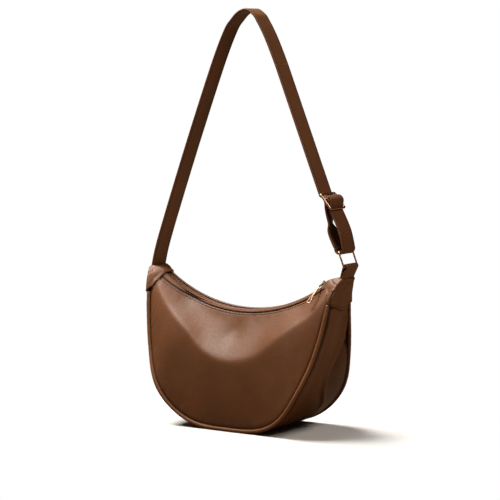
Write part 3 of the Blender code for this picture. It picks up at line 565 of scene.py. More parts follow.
def weave():
    """Crossing threads on the piece's own flow, in threads per metre."""
    name = "Weave"
    tree = group(name, {"Threads": 1800.0}, {"Height": "Float", "Normal": "Vector"})
    if tree is None:
        return bpy.data.node_groups[name]
    start = node(tree, "NodeGroupInput", (-900, 0)).outputs
    flow = node(tree, "ShaderNodeUVMap", (-900, -200), uv_map="flow").outputs["UV"]
    scaled = node(
        tree, "ShaderNodeVectorMath", (-700, -100), {0: flow, "Scale": start["Threads"]},
        operation="SCALE",
    )
    parts = node(tree, "ShaderNodeSeparateXYZ", (-500, -100), {0: scaled.outputs[0]})
    waves = {}
    for number, axis in enumerate(("X", "Y")):
        turn = node(
            tree, "ShaderNodeMath", (-300, 0), {0: parts.outputs[axis]},
            operation="MULTIPLY", in_1=math.pi,
        )
        wave = node(tree, "ShaderNodeMath", (-150, 0), {0: turn.outputs[0]}, operation="SINE")
        waves[number] = wave.outputs[0]
    both = node(tree, "ShaderNodeMath", (50, 0), waves, operation="MULTIPLY")
    height = node(
        tree, "ShaderNodeMapRange", (200, 0), {"Value": both.outputs[0]}, in_From_Min=-1.0
    ).outputs["Result"]
    bump = node(
        tree, "ShaderNodeBump", (400, -100), {"Height": height}, in_Strength=0.6, in_Distance=0.0003
    )
    node(
        tree, "NodeGroupOutput", (700, 0), {"Height": height, "Normal": bump.outputs["Normal"]}
    )
    return tree


def shader(name, roughness, metallic=0.0, specular=0.5):
    made = bpy.data.materials.new(name)
    made.use_nodes = True
    principled = made.node_tree.nodes["Principled BSDF"]
    principled.inputs["Roughness"].default_value = roughness
    principled.inputs["Metallic"].default_value = metallic
    principled.inputs["Specular IOR Level"].default_value = specular
    return made, made.node_tree, principled


def ramp(tree, place, source, colours, low_at=0.0, high_at=1.0):
    """The colour between a low and a high one that a mask asks for."""
    made = node(tree, "ShaderNodeValToRGB", place, {"Fac": source})
    for element, colour, at in zip(made.color_ramp.elements, colours, (low_at, high_at)):
        element.position = at
        element.color = (*colour, 1.0)
    return made.outputs["Color"]


def shades(colour, low, high):
    return Vector(colour) * low, Vector(colour) * high


def gloss(tree, place, source, roughness, **values):
    """A roughness that follows a mask between two values."""
    made = node(
        tree, "ShaderNodeMapRange", place, {"Value": source},
        in_To_Min=roughness[0], in_To_Max=roughness[1], **values
    )
    return made.outputs["Result"]


def leather(name, shade=1.0, wrinkle=0.3):
    """Smooth coated leather with a fine grain, and painted shade where the piece's points ask for it."""
    look = bpy.context.scene.bag_look
    dull = look.leather_roughness
    made, tree, principled = shader(name, dull, specular=0.38)
    grain = node(
        tree, "ShaderNodeGroup", (-700, 0), node_tree=leather_grain(),
        in_Cell=1 / look.grain, in_Wrinkle=wrinkle,
    ).outputs
    base = Vector(look.leather) * shade
    colours = ramp(tree, (-400, 100), grain["Mottle"], shades(base, 0.82, 1.18), 0.3, 0.7)
    # Painted shade: where the pieces' points say shade falls, in grooves, seams and recesses, the colour is mixed
    # towards GROOVE_SHADE times itself.
    groove = node(tree, "ShaderNodeAttribute", (-700, 300), attribute_name="groove")
    painted_shade_mix = node(
        tree, "ShaderNodeMix", (-150, 200),
        data_type="RGBA", in_B=(*(base * GROOVE_SHADE), 1.0),
    )
    connect(tree, painted_shade_mix, {"Factor": groove.outputs["Fac"], "A": colours})
    connect(tree, principled, {
        "Base Color": painted_shade_mix.outputs["Result"],
        "Roughness": gloss(
            tree, (-400, -150), grain["Pore"], (dull - 0.05, dull + 0.05),
            in_From_Min=0.3, in_From_Max=0.7,
        ),
        "Normal": grain["Normal"],
    })
    return made


def thread_finish():
    if "Thread" in bpy.data.materials:
        return bpy.data.materials["Thread"]
    look = bpy.context.scene.bag_look
    made, tree, principled = shader("Thread", 0.55, specular=0.35)
    place = node(tree, "ShaderNodeTexCoord", (-800, 0)).outputs["Object"]
    twist = node(
        tree, "ShaderNodeTexWave", (-600, 0), {"Vector": place}, in_Scale=900.0, in_Distortion=1.5
    ).outputs["Fac"]
    bump = node(
        tree, "ShaderNodeBump", (-300, -200), {"Height": twist}, in_Strength=0.4, in_Distance=0.0001
    )
    colours = ramp(tree, (-300, 100), twist, shades(look.thread, 0.7, 1.3))
    connect(tree, principled, {"Base Color": colours, "Normal": bump.outputs["Normal"]})
    return made


def cloth(name, colour, threads):
    made, tree, principled = shader(name, 0.85, specular=0.25)
    woven = node(
        tree, "ShaderNodeGroup", (-700, 0), node_tree=weave(), in_Threads=threads
    ).outputs
    colours = ramp(tree, (-400, 100), woven["Height"], shades(colour, 0.6, 1.25))
    connect(tree, principled, {"Base Color": colours, "Normal": woven["Normal"]})
    principled.inputs["Sheen Weight"].default_value = 0.15
    return made


def toothed():
    """Moulded teeth, a little paler than the tape, with a faint speckle."""
    made, tree, principled = shader("Zip teeth", 0.35, specular=0.5)
    place = node(tree, "ShaderNodeTexCoord", (-800, 0)).outputs["Object"]
    speckle = node(tree, "ShaderNodeTexNoise", (-600, 0), {"Vector": place}, in_Scale=900.0)
    base = Vector(bpy.context.scene.bag_look.tape) * 1.6
    colours = ramp(tree, (-300, 0), speckle.outputs["Fac"], shades(base, 0.8, 1.2))
    connect(tree, principled, {"Base Color": colours})
    return made


def plated(name, roughness_step=0.0, shade=1.0):
    """Rose gold plating with faint polishing marks."""
    look = bpy.context.scene.bag_look
    made, tree, principled = shader(name, look.metal_roughness, metallic=1.0)
    place = node(tree, "ShaderNodeTexCoord", (-900, 0)).outputs["Object"]
    marks = node(
        tree, "ShaderNodeTexNoise", (-650, 0), {"Vector": place}, in_Scale=420.0, in_Detail=4.0
    ).outputs["Fac"]
    base = Vector(look.metal) * shade
    dull = look.metal_roughness + roughness_step
    bump = node(
        tree, "ShaderNodeBump", (-350, -300), {"Height": marks}, in_Strength=0.08,
        in_Distance=0.0001,
    )
    connect(tree, principled, {
        "Base Color": ramp(tree, (-350, 150), marks, shades(base, 0.93, 1.05), 0.3, 0.7),
        "Roughness": gloss(tree, (-350, -100), marks, (dull - 0.06, dull + 0.08)),
        "Normal": bump.outputs["Normal"],
    })
    return made


# Making pieces


def baked(name, shaped):
    """A mesh from a bmesh, which is freed."""
    mesh = bpy.data.meshes.new(name)
    shaped.to_mesh(mesh)
    shaped.free()
    return mesh


def placed(name, data):
    made = bpy.data.objects.new(name, data)
    bpy.context.collection.objects.link(made)
    return made


def settle(made, body, slot, replaced=()):
    if body:
        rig.ride(made, body)
    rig.slot(made, slot)
    if replaced:
        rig.replaces(made, *replaced)


def finished(name, shaped, finish, body, slot, replaced=(), wall=0.0, offset=-1.0):
    """Turns a bmesh into a piece that rides on a body, a sheet with its wall's thickness."""
    mesh = baked(name, shaped)
    mesh.shade_smooth()
    made = placed(name, mesh)
    mesh.materials.append(finish)
    settle(made, body, slot, replaced)
    if wall:
        solid = made.modifiers.new("Wall", "SOLIDIFY")
        solid.thickness = wall
        solid.offset = offset
    return made


def grid(columns, rows, place, size=(1.0, 1.0), closed=False, flip=False, groove=None):
    """A bmesh sheet whose points lie where place(u, v) says, with its flow in metres and, where asked, each point's
    share of painted shade.
    """
    shaped = bmesh.new()
    flow = shaped.loops.layers.uv.new("flow")
    # Each point's share of painted shade: the leather darkens with it where shade falls in grooves, seams and
    # recesses.
    dark = shaped.verts.layers.float.new("groove")
    bmesh.ops.create_grid(shaped, x_segments=columns, y_segments=rows, size=0.5)
    shares = {vertex: (vertex.co.x + 0.5, vertex.co.y + 0.5) for vertex in shaped.verts}
    for face in shaped.faces:
        for loop in face.loops:
            u, v = shares[loop.vert]
            loop[flow].uv = (u * size[0], v * size[1])
    for vertex, (u, v) in shares.items():
        vertex.co = place(u, v)
        if groove:
            vertex[dark] = groove(u, v)
    if closed:
        bmesh.ops.remove_doubles(shaped, verts=shaped.verts, dist=WELD)
    if flip:
        bmesh.ops.reverse_faces(shaped, faces=shaped.faces)
    return shaped


def scatter(shaped, template, matrices):
    """Adds a copy of a small mesh at each matrix, in batches, and removes the small mesh."""
    for start in range(0, len(matrices), BATCH):
        batch = bmesh.new()
        for matrix in matrices[start : start + BATCH]:
            copy = template.copy()
            copy.transform(matrix)
            batch.from_mesh(copy)
            bpy.data.meshes.remove(copy)
        joined = baked("batch", batch)
        shaped.from_mesh(joined)
        bpy.data.meshes.remove(joined)
    bpy.data.meshes.remove(template)


def round_edges(shaped, verts, offset, segments):
    """Rounds the edges at some points."""
    edges = dict.fromkeys(edge for vertex in verts for edge in vertex.link_edges)
    return bmesh.ops.bevel(
        shaped, geom=list(edges), offset=offset, offset_type="OFFSET", segments=segments,
        profile=0.5, affect="EDGES", material=-1,
    )


def stitch_places(points, ups):
    """Matrices of half-sunk stitches along points, with the surface's direction at each."""
    form = bpy.context.scene.bag_stitch
    lengths = lengths_along(points)
    count = max(1, int(lengths[-1] / form.pitch))
    made = []
    for number in range(count):
        low, part = span(lengths, (number + 0.5) * lengths[-1] / count)
        centre = mix(points[low], points[low + 1], part)
        up = mix(ups[low], ups[low + 1], part).normalized()
        along = (points[low + 1] - points[low]).normalized()
        across = up.cross(along).normalized()
        up = along.cross(across)
        along = (along + across * STITCH_SLANTS[number % 2]).normalized()
        across = up.cross(along)
        turn = Matrix((along, across, up)).transposed().to_4x4()
        made.append(Matrix.Translation(centre + up * form.thread * STITCH_RISE) @ turn)
    return made


def stitches(name, rows, body):
    """One piece of thread for several rows of (points, ups)."""
    form = bpy.context.scene.bag_stitch
    one = bmesh.new()
    size = (form.length / 2, form.thread / 2, form.thread * STITCH_FLATNESS, 1.0)
    bmesh.ops.create_uvsphere(
        one, u_segments=8, v_segments=5, radius=1.0, matrix=Matrix.Diagonal(size)
    )
    shaped = bmesh.new()
    scatter(shaped, baked("stitch", one), [place for row in rows for place in stitch_places(*row)])
    return finished(name, shaped, thread_finish(), body, "leather")


def surface_row(place, shares):
    """Points along a surface and its outward direction at each, found by small steps."""
    points = []
    ups = []
    step = 0.002
    for u, v in shares:
        along = place(min(u + step, 1.0), v) - place(max(u - step, 0.0), v)
        across = place(u, min(v + step, 1.0)) - place(u, max(v - step, 0.0))
        points.append(place(u, v))
        ups.append(along.cross(across).normalized())
    return points, ups


def wire_piece(name, points, radius, finish, body, replaced=(), closed=False, sides=5):
    """A round bar along a line of points."""
    data = bpy.data.curves.new(name, "CURVE")
    data.dimensions = "3D"
    data.bevel_depth = radius
    data.bevel_resolution = sides
    data.use_fill_caps = not closed
    data.twist_mode = "Z_UP" if closed else "MINIMUM"
    spline = data.splines.new("POLY")
    spline.points.add(len(points) - 1)
    for target, point in zip(spline.points, points):
        target.co = (*point, 1.0)
    spline.use_cyclic_u = closed
    spline.use_smooth = True
    data.materials.append(finish)
    settle(placed(name, data), body, "metal", replaced)


# Panels

RIDGE_SHARES = (0.62, 0.70, 0.74, 0.73, 0.645, 0.595, 0.63, 0.70, 0.70, 0.60, 0.55)
SOFT_SHARES = (5.0, 4.6, 3.8, 2.6, 1.7, 1.6, 2.6, 4.0, 5.0, 5.5, 6.0)
FALL_POWERS = (1.4, 1.45, 1.75, 1.95, 1.6, 1.35, 1.45, 1.7, 1.85, 1.9, 1.6)
BAND = 0.0042
STITCH_DROP = 0.0068
SEAM_RISE = 0.0021
LOWER_ROWS = 0.62
UPPER_ROWS = 0.84
FINE_BAND = 0.0095
FINE_BAND_MOST = 0.45

# Rims from the outer edge to the inner one, in millimetres across and up
FRONT_RIM = ((9.0, 1.5), (8.5, 2.05), (7.6, 2.35), (6.5, 2.3), (5.7, 1.9), (5.3, 1.2), (5.8, 0.75))
BACK_RIM = ((9.0, 1.8), (8.5, 2.4), (7.6, 2.7), (6.5, 2.6), (5.7, 2.1), (5.3, 1.3), (5.8, 0.75))


def panel_row(t, w):
    """The height share on a panel and the share along its rim, from the row share w."""
    first = SEAM_RISE / panel_height(t)
    fine = 1 - min(FINE_BAND / zip_reach(t), FINE_BAND_MOST)
    if w < LOWER_ROWS:
        return mix(first, fine, w / LOWER_ROWS), 0.0
    if w < UPPER_ROWS:
        return mix(fine, 1.0, (w - LOWER_ROWS) / (UPPER_ROWS - LOWER_ROWS)), 0.0
    return 1.0, (w - UPPER_ROWS) / (1 - UPPER_ROWS)


def panel_painted_shade(u, w):
    """How much painted shade a panel takes in the groove along the zip, beside the piping and inside the rim."""
    t = mix(-1.0, 1.0, u)
    v, rim = panel_row(t, w)
    drop, rise = (1 - v) * zip_reach(t), v * panel_height(t)
    along_zip = 0.0 if rim > 0 else bell(drop - BAND, 0.0008)
    beside = bell(max(rise - SEAM_RISE, 0.0), 0.0019)
    return min(0.9 * along_zip + 0.9 * beside + 0.3 * ease((rim - 0.55) / 0.3), 1.0)


def smaller(a, b, soft):
    """The smaller of two values, rounded where they cross."""
    low = min(a, b)
    return low - soft * math.log(math.exp((low - a) / soft) + math.exp((low - b) / soft))


def swell(t, v, bulge, ridge, straight, power, fall, soft):
    """How far a panel stands out: it rises to a ridge and falls to the zip."""
    share = min(v / ridge, 1.0)
    rising = mix(math.sin(math.pi / 2 * share) ** power, share, straight)
    falling = ((1 - v) / (1 - ridge)) ** fall
    return bulge * (1 - t * t) ** 0.8 * max(smaller(rising, falling, soft), 0.0)


def front_swell(t, v):
    form = bpy.context.scene.bag_form
    ridge, soft, fall = (
        curve_through(shares, (t + 1) / 2) for shares in (RIDGE_SHARES, SOFT_SHARES, FALL_POWERS)
    )
    return swell(t, v, form.front_bulge, ridge, 0.5, 0.9, fall, form.ridge_softness * soft)


def back_swell(t, v):
    return swell(t, v, bpy.context.scene.bag_form.back_bulge, 0.5, 0.0, 0.8, 1.25, 0.12)


def front_hollow(x, z):
    """The dents that the photograph shows on the slope below the zip."""
    middle = 0.0030 * bell(Vector((x + 0.004, z - 0.123)).length, 0.014)
    return middle + 0.0028 * bell(x + 0.078, 0.022) * bell(z - 0.163, 0.014)


def back_hollow(x, z):
    return 0.0035 * bell(x - 0.03, 0.05) * bell(z - 0.10, 0.02)


def panel(side, rim_line, top_lift, swelling, hollow, wave, seeds):
    """A panel's place function, from one horn to the other and from the piping to the zip."""
    rim_line = [Vector(point) for point in rim_line]
    wave_height, wave_place, wave_scale, wave_seed = wave

    def place(u, w):
        t = mix(-1.0, 1.0, u)
        v, rim = panel_row(t, w)
        degrees = t * PANEL_END_DEG
        if rim > 0:
            across, lift = curve_through(rim_line, rim)
            return on_zip(degrees, side * across / 1000, lift / 1000)
        start = seam(t)
        top = on_zip(degrees, 0.0, top_lift)
        x, z = mix(start.x, top.x, v), mix(start.y, top.z, v)
        seam_y = middle_y(start.y) + side * half_depth(start.y)
        drop, rise = (1 - v) * zip_reach(t), v * panel_height(t)
        out = swelling(t, v) - hollow(x, z)
        out -= 0.0009 * bell(drop - BAND, 0.0007) + 0.0008 * bell(rise - SEAM_RISE, 0.0024)
        out += 0.0005 * math.sin(math.pi * min(drop / BAND, 1.0)) ** 2
        out -= 0.00025 * bell(drop - STITCH_DROP, 0.0007)
        pucker = bpy.context.scene.bag_form.pucker
        below = ripple((t * SEAM_LENGTH / 2, rise * 0.4, seeds[0]), 120.0)
        above = ripple((x, drop * 0.5, seeds[1]), 110.0)
        out += pucker * below * bell(rise - 0.004, 0.008) * 2
        out += pucker * above * bell(drop - 0.009, 0.006) * 1.6
        waves = wave_height * ripple((x, wave_place, z), wave_scale, wave_seed)
        waves *= ease(rise / 0.02) * ease(drop / 0.02)
        return Vector((x, mix(seam_y, ZIP_Y + side * RIM_OUTER, v) + side * out + waves, z))

    return place


front_place = panel(
    -1, FRONT_RIM, 0.0015, front_swell, front_hollow, (0.0012, 0.0, 16.0, 2.0), (0.0, 9.0)
)
back_place = panel(
    1, BACK_RIM, 0.0018, back_swell, back_hollow, (0.0016, 5.0, 14.0, 4.0), (3.0, 5.0)
)


def panel_stitch_row(place, side):
    """The row of stitches below the band along the zip."""
    shares = []
    for u in spread(260, 0.022, 0.978):
        height = zip_reach(mix(-1.0, 1.0, u))
        share = 1 - (STITCH_DROP / height) / min(FINE_BAND / height, FINE_BAND_MOST)
        shares.append((u, mix(LOWER_ROWS, UPPER_ROWS, share)))
    points, ups = surface_row(place, shares)
    if ups[len(ups) // 2].y * side < 0:
        ups = [-up for up in ups]
    return points, ups


class BAG_OT_panels(bpy.types.Operator):
    """Builds the front and back panels with the bands and stitches along the zip."""

    bl_idname = "bag.panels"
    bl_label = "Panels"

    def execute(self, context):
        finish = leather("Panel leather")
        size = (SEAM_LENGTH, 0.16)
        rows = []
        for label, side, place, columns, lines in (
            ("front", -1, front_place, 260, 130), ("back", 1, back_place, 220, 120)
        ):
            finished(
                f"{label}_panel_leather",
                grid(columns, lines, place, size, flip=side > 0, groove=panel_painted_shade),
                finish, "bag", "leather", (f"{label}_panel",), wall=SKIN,
            )
            rows.append(panel_stitch_row(place, side))
        stitches("panel_stitches", rows, "bag")
        return {"FINISHED"}


# Gusset and piping

PLEAT_DEPTHS = (0.0, 0.02, 0.1, 0.22, 0.42, 0.74, 1.0, 0.95, 0.0)
PLEAT_PLACES = (0.8, 0.65, 0.42, 0.12, 0.04, 0.2, 0.5, 0.72, 0.8)
PLEAT_TOP = 0.1585
CREASE_AHEAD = 0.20

# The soft lips beside the pleat: height, place from the crease or from the middle, width
CREASE_LIP = (0.0030, 0.08)
LIPS = ((0.0020, -0.45, 0.35), (0.0014, -0.82, 0.09))


def gusset_fold(r, z):
    """How far the gusset folds in at r, as a share, sharp in front and gentle behind."""
    share = z / PLEAT_TOP
    if share >= 1:
        return 0.0
    offset = r - curve_through(PLEAT_PLACES, share)
    return curve_through(PLEAT_DEPTHS, share) * bell(offset, 0.10 if offset < 0 else 0.40)


def gusset_crease(z):
    """Where the pleat's edge lies at a height, from the front seam -1 to the back 1."""
    return curve_through(PLEAT_PLACES, min(z / PLEAT_TOP, 1.0)) - CREASE_AHEAD


def gusset_place(u, w):
    """A place on the gusset, from one horn to the other and from the front seam to the back."""
    t = mix(-1.0, 1.0, u)
    start = seam(t)
    depth = half_depth(start.y)
    form = bpy.context.scene.bag_form
    edge = 1 - 0.0020 / depth
    r = mix(-edge, edge, w)
    settled = min((start.y - PIPING_RADIUS) / 0.030, 1.0)
    flat_base = PIPING_RADIUS * min((1 - abs(r)) / 0.3, 1.0)
    shown = ease((start.y - 0.02) / 0.03) * ease((0.165 - start.y) / 0.02)
    lip = CREASE_LIP[0] * bell(r - gusset_crease(start.y), CREASE_LIP[1])
    lip += sum(height * bell(r - place, width) for height, place, width in LIPS)
    full_side = 0.005 * (1 - r * r) + lip * shown
    shift = mix(flat_base, full_side, settled) - form.pleat_depth * gusset_fold(r, start.y)
    near = (1 - abs(r)) * depth
    along = t * SEAM_LENGTH / 2
    loose = ease((start.y - 0.012) / 0.03) * ease(near / 0.012)
    shift += 0.0010 * ripple((along, r * 0.06, 0.0), 22.0, 6.0) * loose
    gathers = form.pucker * 2.4 * ripple((along, near * 0.3, 7.0), 130.0)
    shift += gathers * bell(near - 0.004, 0.007) * settled
    flat = start + seam_outward(t) * shift
    return Vector((flat.x, middle_y(start.y) + r * depth, flat.y))


def gusset_painted_shade(u, w):
    """How much painted shade the gusset takes beside the piping, behind its crease and deep in its pleat."""
    z = seam(mix(-1.0, 1.0, u)).y
    r = mix(-1.0, 1.0, w)
    near = (1 - abs(r)) * half_depth(z)
    behind = ease((r - gusset_crease(z) - 0.03) / 0.10)
    behind *= ease((z - 0.01) / 0.04) * ease((PLEAT_TOP - z) / 0.02)
    beside = 0.9 * bell(max(near - 0.0022, 0.0), 0.0021)
    deep = ease((gusset_fold(r, z) - 0.3) / 0.45)
    return min(beside + 0.40 * behind + 0.70 * deep, 1.0)


def piping_place(side):
    """The piping's place function: round its cord, a little uneven but for the base."""
    reach = CAP_EDGE_SHARE - 0.004

    def place(u, w):
        t = mix(-reach, reach, u)
        flat = seam(t)
        out = seam_outward(t)
        centre = Vector((flat.x, middle_y(flat.y) + side * half_depth(flat.y), flat.y))
        turn = 2 * math.pi * w
        uneven = (t * SEAM_LENGTH / 2, math.cos(turn) * 0.003, math.sin(turn) * 0.003)
        radius = PIPING_RADIUS + 0.00010 * ripple(uneven, 260.0, side)
        if centre.z < 0.004:
            radius = min(radius, PIPING_RADIUS)
        aside = Vector((out.x, 0.0, out.y)) * math.cos(turn)
        return centre + (aside + Vector((0.0, side, 0.0)) * math.sin(turn)) * radius

    return place


class BAG_OT_gusset(bpy.types.Operator):
    """Builds the gusset with its inward pleats and the piping of both seams."""

    bl_idname = "bag.gusset"
    bl_label = "Gusset and Piping"

    def execute(self, context):
        size = (SEAM_LENGTH, 0.12)
        finished(
            "gusset_leather", grid(300, 90, gusset_place, size, flip=True, groove=gusset_painted_shade),
            leather("Gusset leather"), "bag", "leather", ("gusset",), wall=SKIN,
        )
        # Painted highlight: the piping's leather is made a quarter lighter than the rest, for the light that its
        # raised cord catches.
        finish = leather("Piping leather", 1.25, wrinkle=0.15)
        size = (SEAM_LENGTH, 0.0157)
        for label, side in (("front", -1), ("back", 1)):
            shaped = grid(420, 16, piping_place(side), size, closed=True, flip=side > 0)
            bmesh.ops.holes_fill(shaped, edges=shaped.edges)
            name = f"{label}_piping"
            finished(f"{name}_leather", shaped, finish, "bag", "leather", (name,))
        return {"FINISHED"}


# Horn caps

CAP_LIFT = 0.0006
CAP_SKIN = 0.0012
CAP_GIRTH = 0.15
CAP_CONTROLS = 16
CAP_SLEEVE = 0.3
CAP_TIGHTNESS = 0.62
CAP_STITCH_ROW = 0.085

# A cap's seam: how far it stands out, where from the seam and how wide
CAP_SEAM_FORM = ((-0.0014, 0.0, 0.0015), (0.0012, 0.0040, 0.0020), (0.0009, -0.0038, 0.0020))


def cap_profile(t, drop, lift):
    """Control points round a horn, from the front rim over the side to the back rim."""
    degrees = t * PANEL_END_DEG
    u = (t + 1) / 2
    flat = seam(t)
    outward = seam_outward(t)
    halves = []
    for side, place, rim in (
        (-1, front_place, ((0.0058, 0.0022), (0.0080, 0.0025))),
        (1, back_place, ((0.0058, 0.0024), (0.0080, 0.0028))),
    ):
        points = [on_zip(degrees, side * across, up) for across, up in rim]
        points += [place(u, row) for row in (UPPER_ROWS, 0.7 * LOWER_ROWS, 0.35 * LOWER_ROWS)]
        edge = flat + outward * 0.002
        y = middle_y(flat.y) + side * (half_depth(flat.y) + 0.0016)
        halves.append([*points, Vector((edge.x, y, edge.y))])
    step = math.copysign(drop, t)
    sides = [
        gusset_place((t - step * (1 - abs(r)) + 1) / 2, (r + 1) / 2) for r in (-0.6, -0.2, 0.2, 0.6)
    ]
    loop = halves[0] + sides + halves[1][::-1]
    centre = sum(loop, Vector()) / len(loop)
    axis = Vector((math.copysign(1.0, t), 0.0, 1.0)).normalized()
    made = []
    for i, point in enumerate(loop):
        along = loop[(i + 1) % len(loop)] - loop[i - 1]
        out = along.cross(axis).normalized()
        if out.dot(point - centre) < 0:
            out.negate()
        made.append(point + out * lift)
    return made


def cap_mouth(side, half_x, half_y):
    """The loop that hugs the strap, a little lower on its outer side."""
    half = [(-1, 0.4), (-1, 0.8), (-0.9, 0.98), (-0.4, 1.0), (0.3, 1.0), (0.9, 0.98)]
    ring = [(a, -b) for a, b in half] + [(1, b) for b in (-0.6, -0.2, 0.2, 0.6)] + half[::-1]
    return [
        Vector((
            side * (HORN_X + a * half_x), STRAP_Y + b * half_y,
            HORN_HEIGHT + 0.0004 - 0.0009 * max(a, 0.0),
        ))
        for a, b in ring
    ]


def around(loop, share):
    """A place on a closed loop of control points, with its corners kept fairly tight."""
    count = len(loop)
    low = int(share * count) % count
    part = share * count - int(share * count)
    before, start = loop[low - 1], loop[low]
    end, after = loop[(low + 1) % count], loop[(low + 2) % count]
    from_slope = (end - before) / 2 * CAP_TIGHTNESS
    to_slope = (after - start) / 2 * CAP_TIGHTNESS
    square = part * part
    cube = square * part
    return (
        start * (2 * cube - 3 * square + 1) + from_slope * (cube - 2 * square + part)
        + end * (3 * square - 2 * cube) + to_slope * (cube - square)
    )


def cap_seams(side, w):
    """The places of a cap's two seams; the right cap's front one turns back over the shoulder."""
    turned = 4 * ease((w - 0.45) / 0.55) if side > 0 else 0.0
    return (5 + turned) / CAP_CONTROLS, 10 / CAP_CONTROLS


def cap_place(side, half_x, half_y):
    """A cap's place function, from its lower edge over the shoulder to its mouth."""
    low = cap_profile(side * CAP_EDGE_SHARE, 0.035, CAP_LIFT)
    high = cap_profile(side, 0.0175, CAP_LIFT)
    mouth = cap_mouth(side, half_x, half_y)
    centre = sum(high, Vector()) / len(high)

    def place(u, w):
        a, b, c = around(low, u), around(high, u), around(mouth, u)
        if w < CAP_SLEEVE:
            point = mix(a, b, w / CAP_SLEEVE)
        else:
            share = (w - CAP_SLEEVE) / (1 - CAP_SLEEVE)
            shoulder = Vector((mix(b.x, c.x, 0.3), mix(b.y, c.y, 0.35), mix(b.z, c.z, 0.68)))
            point = mix(mix(b, shoulder, share), mix(shoulder, c, share), share)
        out = Vector((point.x - centre.x, point.y - centre.y, 0.0)).normalized()
        loose = math.sin(math.pi * min(w / 0.95, 1.0)) ** 2
        uneven = 0.0009 * ripple((point.x, point.y, point.z * 1.6), 60.0, 11.0 + side)
        slant = w + 0.10 * math.sin(2 * math.pi * u + side)
        uneven += 0.0006 * bell(slant - 0.84, 0.045) - 0.0007 * bell(slant - 0.74, 0.045)
        shift = uneven * loose - 0.0011 * ease((w - 0.94) / 0.06)
        for corner in cap_seams(side, w):
            for height, offset, width in CAP_SEAM_FORM:
                form = bell((u - corner) * CAP_GIRTH - offset, width)
                shift += height * form * ease(w / 0.1)
        return point + out * shift

    return place


def cap_painted_shade(side):
    """How much painted shade a cap takes in the dents of its side seams and where its edge is turned in."""

    def groove(u, w):
        seams = max(bell((u - corner) * CAP_GIRTH, 0.0016) for corner in cap_seams(side, w))
        return min(0.95 * seams + 0.6 * ease((w - 0.95) / 0.05), 1.0)

    return groove


def cap_stitch_row(place):
    """Stitches just inside the cap's lower edge, on the outside of its leather."""
    points, ups = surface_row(place, [(u, CAP_STITCH_ROW) for u in spread(160)])
    centre = sum(points, Vector()) / len(points)
    ups = [up if up.dot(point - centre) > 0 else -up for up, point in zip(ups, points)][12:-12]
    return [point + up * CAP_SKIN for point, up in zip(points[12:-12], ups)], ups


class BAG_OT_caps(bpy.types.Operator):
    """Builds the caps that close the horns round the strap and the tab."""

    bl_idname = "bag.caps"
    bl_label = "Horn Caps"

    def execute(self, context):
        finish = leather("Cap leather", wrinkle=0.45)
        rows = []
        for label, side, mouth in (("left", -1, (0.0018, 0.0154)), ("right", 1, (0.0029, 0.0142))):
            place = cap_place(side, *mouth)
            shaped = grid(
                192, 60, place, (0.16, 0.04), closed=True, flip=side < 0, groove=cap_painted_shade(side)
            )
            finished(
                f"{label}_cap_leather", shaped, finish, "bag", "leather", (f"{label}_horn_cap",),
                wall=CAP_SKIN, offset=1.0,
            )
            rows.append(cap_stitch_row(place))
        stitches("cap_stitches", rows, "bag")
        return {"FINISHED"}


# Zip

TAPE_INNER = 0.0025
TAPE_OUTER = 0.0085
TAPE_WALL = 0.0006
TOOTH_PITCH = 0.003
TEETH_START_DEG = -(SLIDER_DEG + 1.6)
TEETH_END_DEG = SLIDER_DEG - 0.4
TEETH_MARGIN_DEG = 0.3
TOOTH_STEP_IN_DEG = 0.25
STOP_DEG = SLIDER_DEG + 1.63 + 0.27
STOP_LENGTH = 0.0014
STOP_HEIGHT = 0.0022
STOP_INNER = 0.0009
STOP_OUTER = 0.0023

# Slider: plates above and below, flanges along the tapes, and a wedge clear of the teeth
PLATE_LOW = 0.0013
PLATE_HIGH = 0.0023
FLANGE_OUTLINE = ((-0.0056, 0.0029), (0.0014, 0.0029), (0.0014, 0.0038), (-0.0056, 0.0038))
WEDGE_OUTLINE = ((0.0014, 0.0), (0.0033, 0.0019), (0.0052, 0.0), (0.0033, -0.0019))
CROWN_HALF = (
    (0.0044, 0.0019), (0.0044, 0.0040), (0.0041, 0.0053), (0.0030, 0.0062), (0.0010, CROWN_RISE),
)
CROWN_BAR = 0.0008

# Pull: an eye on the crown, a neck over the rim and a blade with an open end
EYE_RADIUS = 0.0025
EYE_WIRE = 0.0007
PULL_HALF = 0.00075
PULL_EDGE = 0.0003
NECK_HALF = 0.0013
NECK_REACH = 0.0135
NECK_DROP = math.radians(15.0)
BLADE_DROP = math.radians(50.0)
BLADE_LEAN = math.radians(-12.0)
BLADE_LEG = ((-0.0013, -0.0148), (-0.0031, -0.0247), (-0.0019, -0.0247), (-0.0003, -0.0148))
BLADE_PARTS = (
    ((-0.0013, 0.0007), (-0.0013, -0.0152), (0.0013, -0.0152), (0.0013, 0.0007)),
    BLADE_LEG,
    tuple((-x, y) for x, y in reversed(BLADE_LEG)),
    ((-0.0031, -0.0241), (-0.0026, -0.0255), (0.0026, -0.0255), (0.0031, -0.0241)),
)


def tape_place(side):
    def place(u, w):
        degrees = mix(-PANEL_END_DEG, PANEL_END_DEG, u)
        across = mix(TAPE_INNER, TAPE_OUTER, w)
        return on_zip(degrees, side * across, 0.00008 * math.sin(w * 40))

    return place


def zip_tooth(side):
    """One tooth: a shank from the bead and a rounded head past the middle."""
    shaped = bmesh.new()
    shank = Matrix.Translation((0.0, side * 0.0011, 0.0))
    shank = shank @ Matrix.Diagonal((0.0010, 0.0026, 0.0017, 1.0))
    made = bmesh.ops.create_cube(shaped, size=1.0, matrix=shank)
    round_edges(shaped, made["verts"], 0.00022, 2)
    head = Matrix.Translation((0.0, -side * 0.00035, 0.0))
    head = head @ Matrix.Diagonal((0.00072, 0.00062, 0.00088, 1.0))
    bmesh.ops.create_uvsphere(shaped, u_segments=10, v_segments=6, radius=1.0, matrix=head)
    return baked("tooth", shaped)


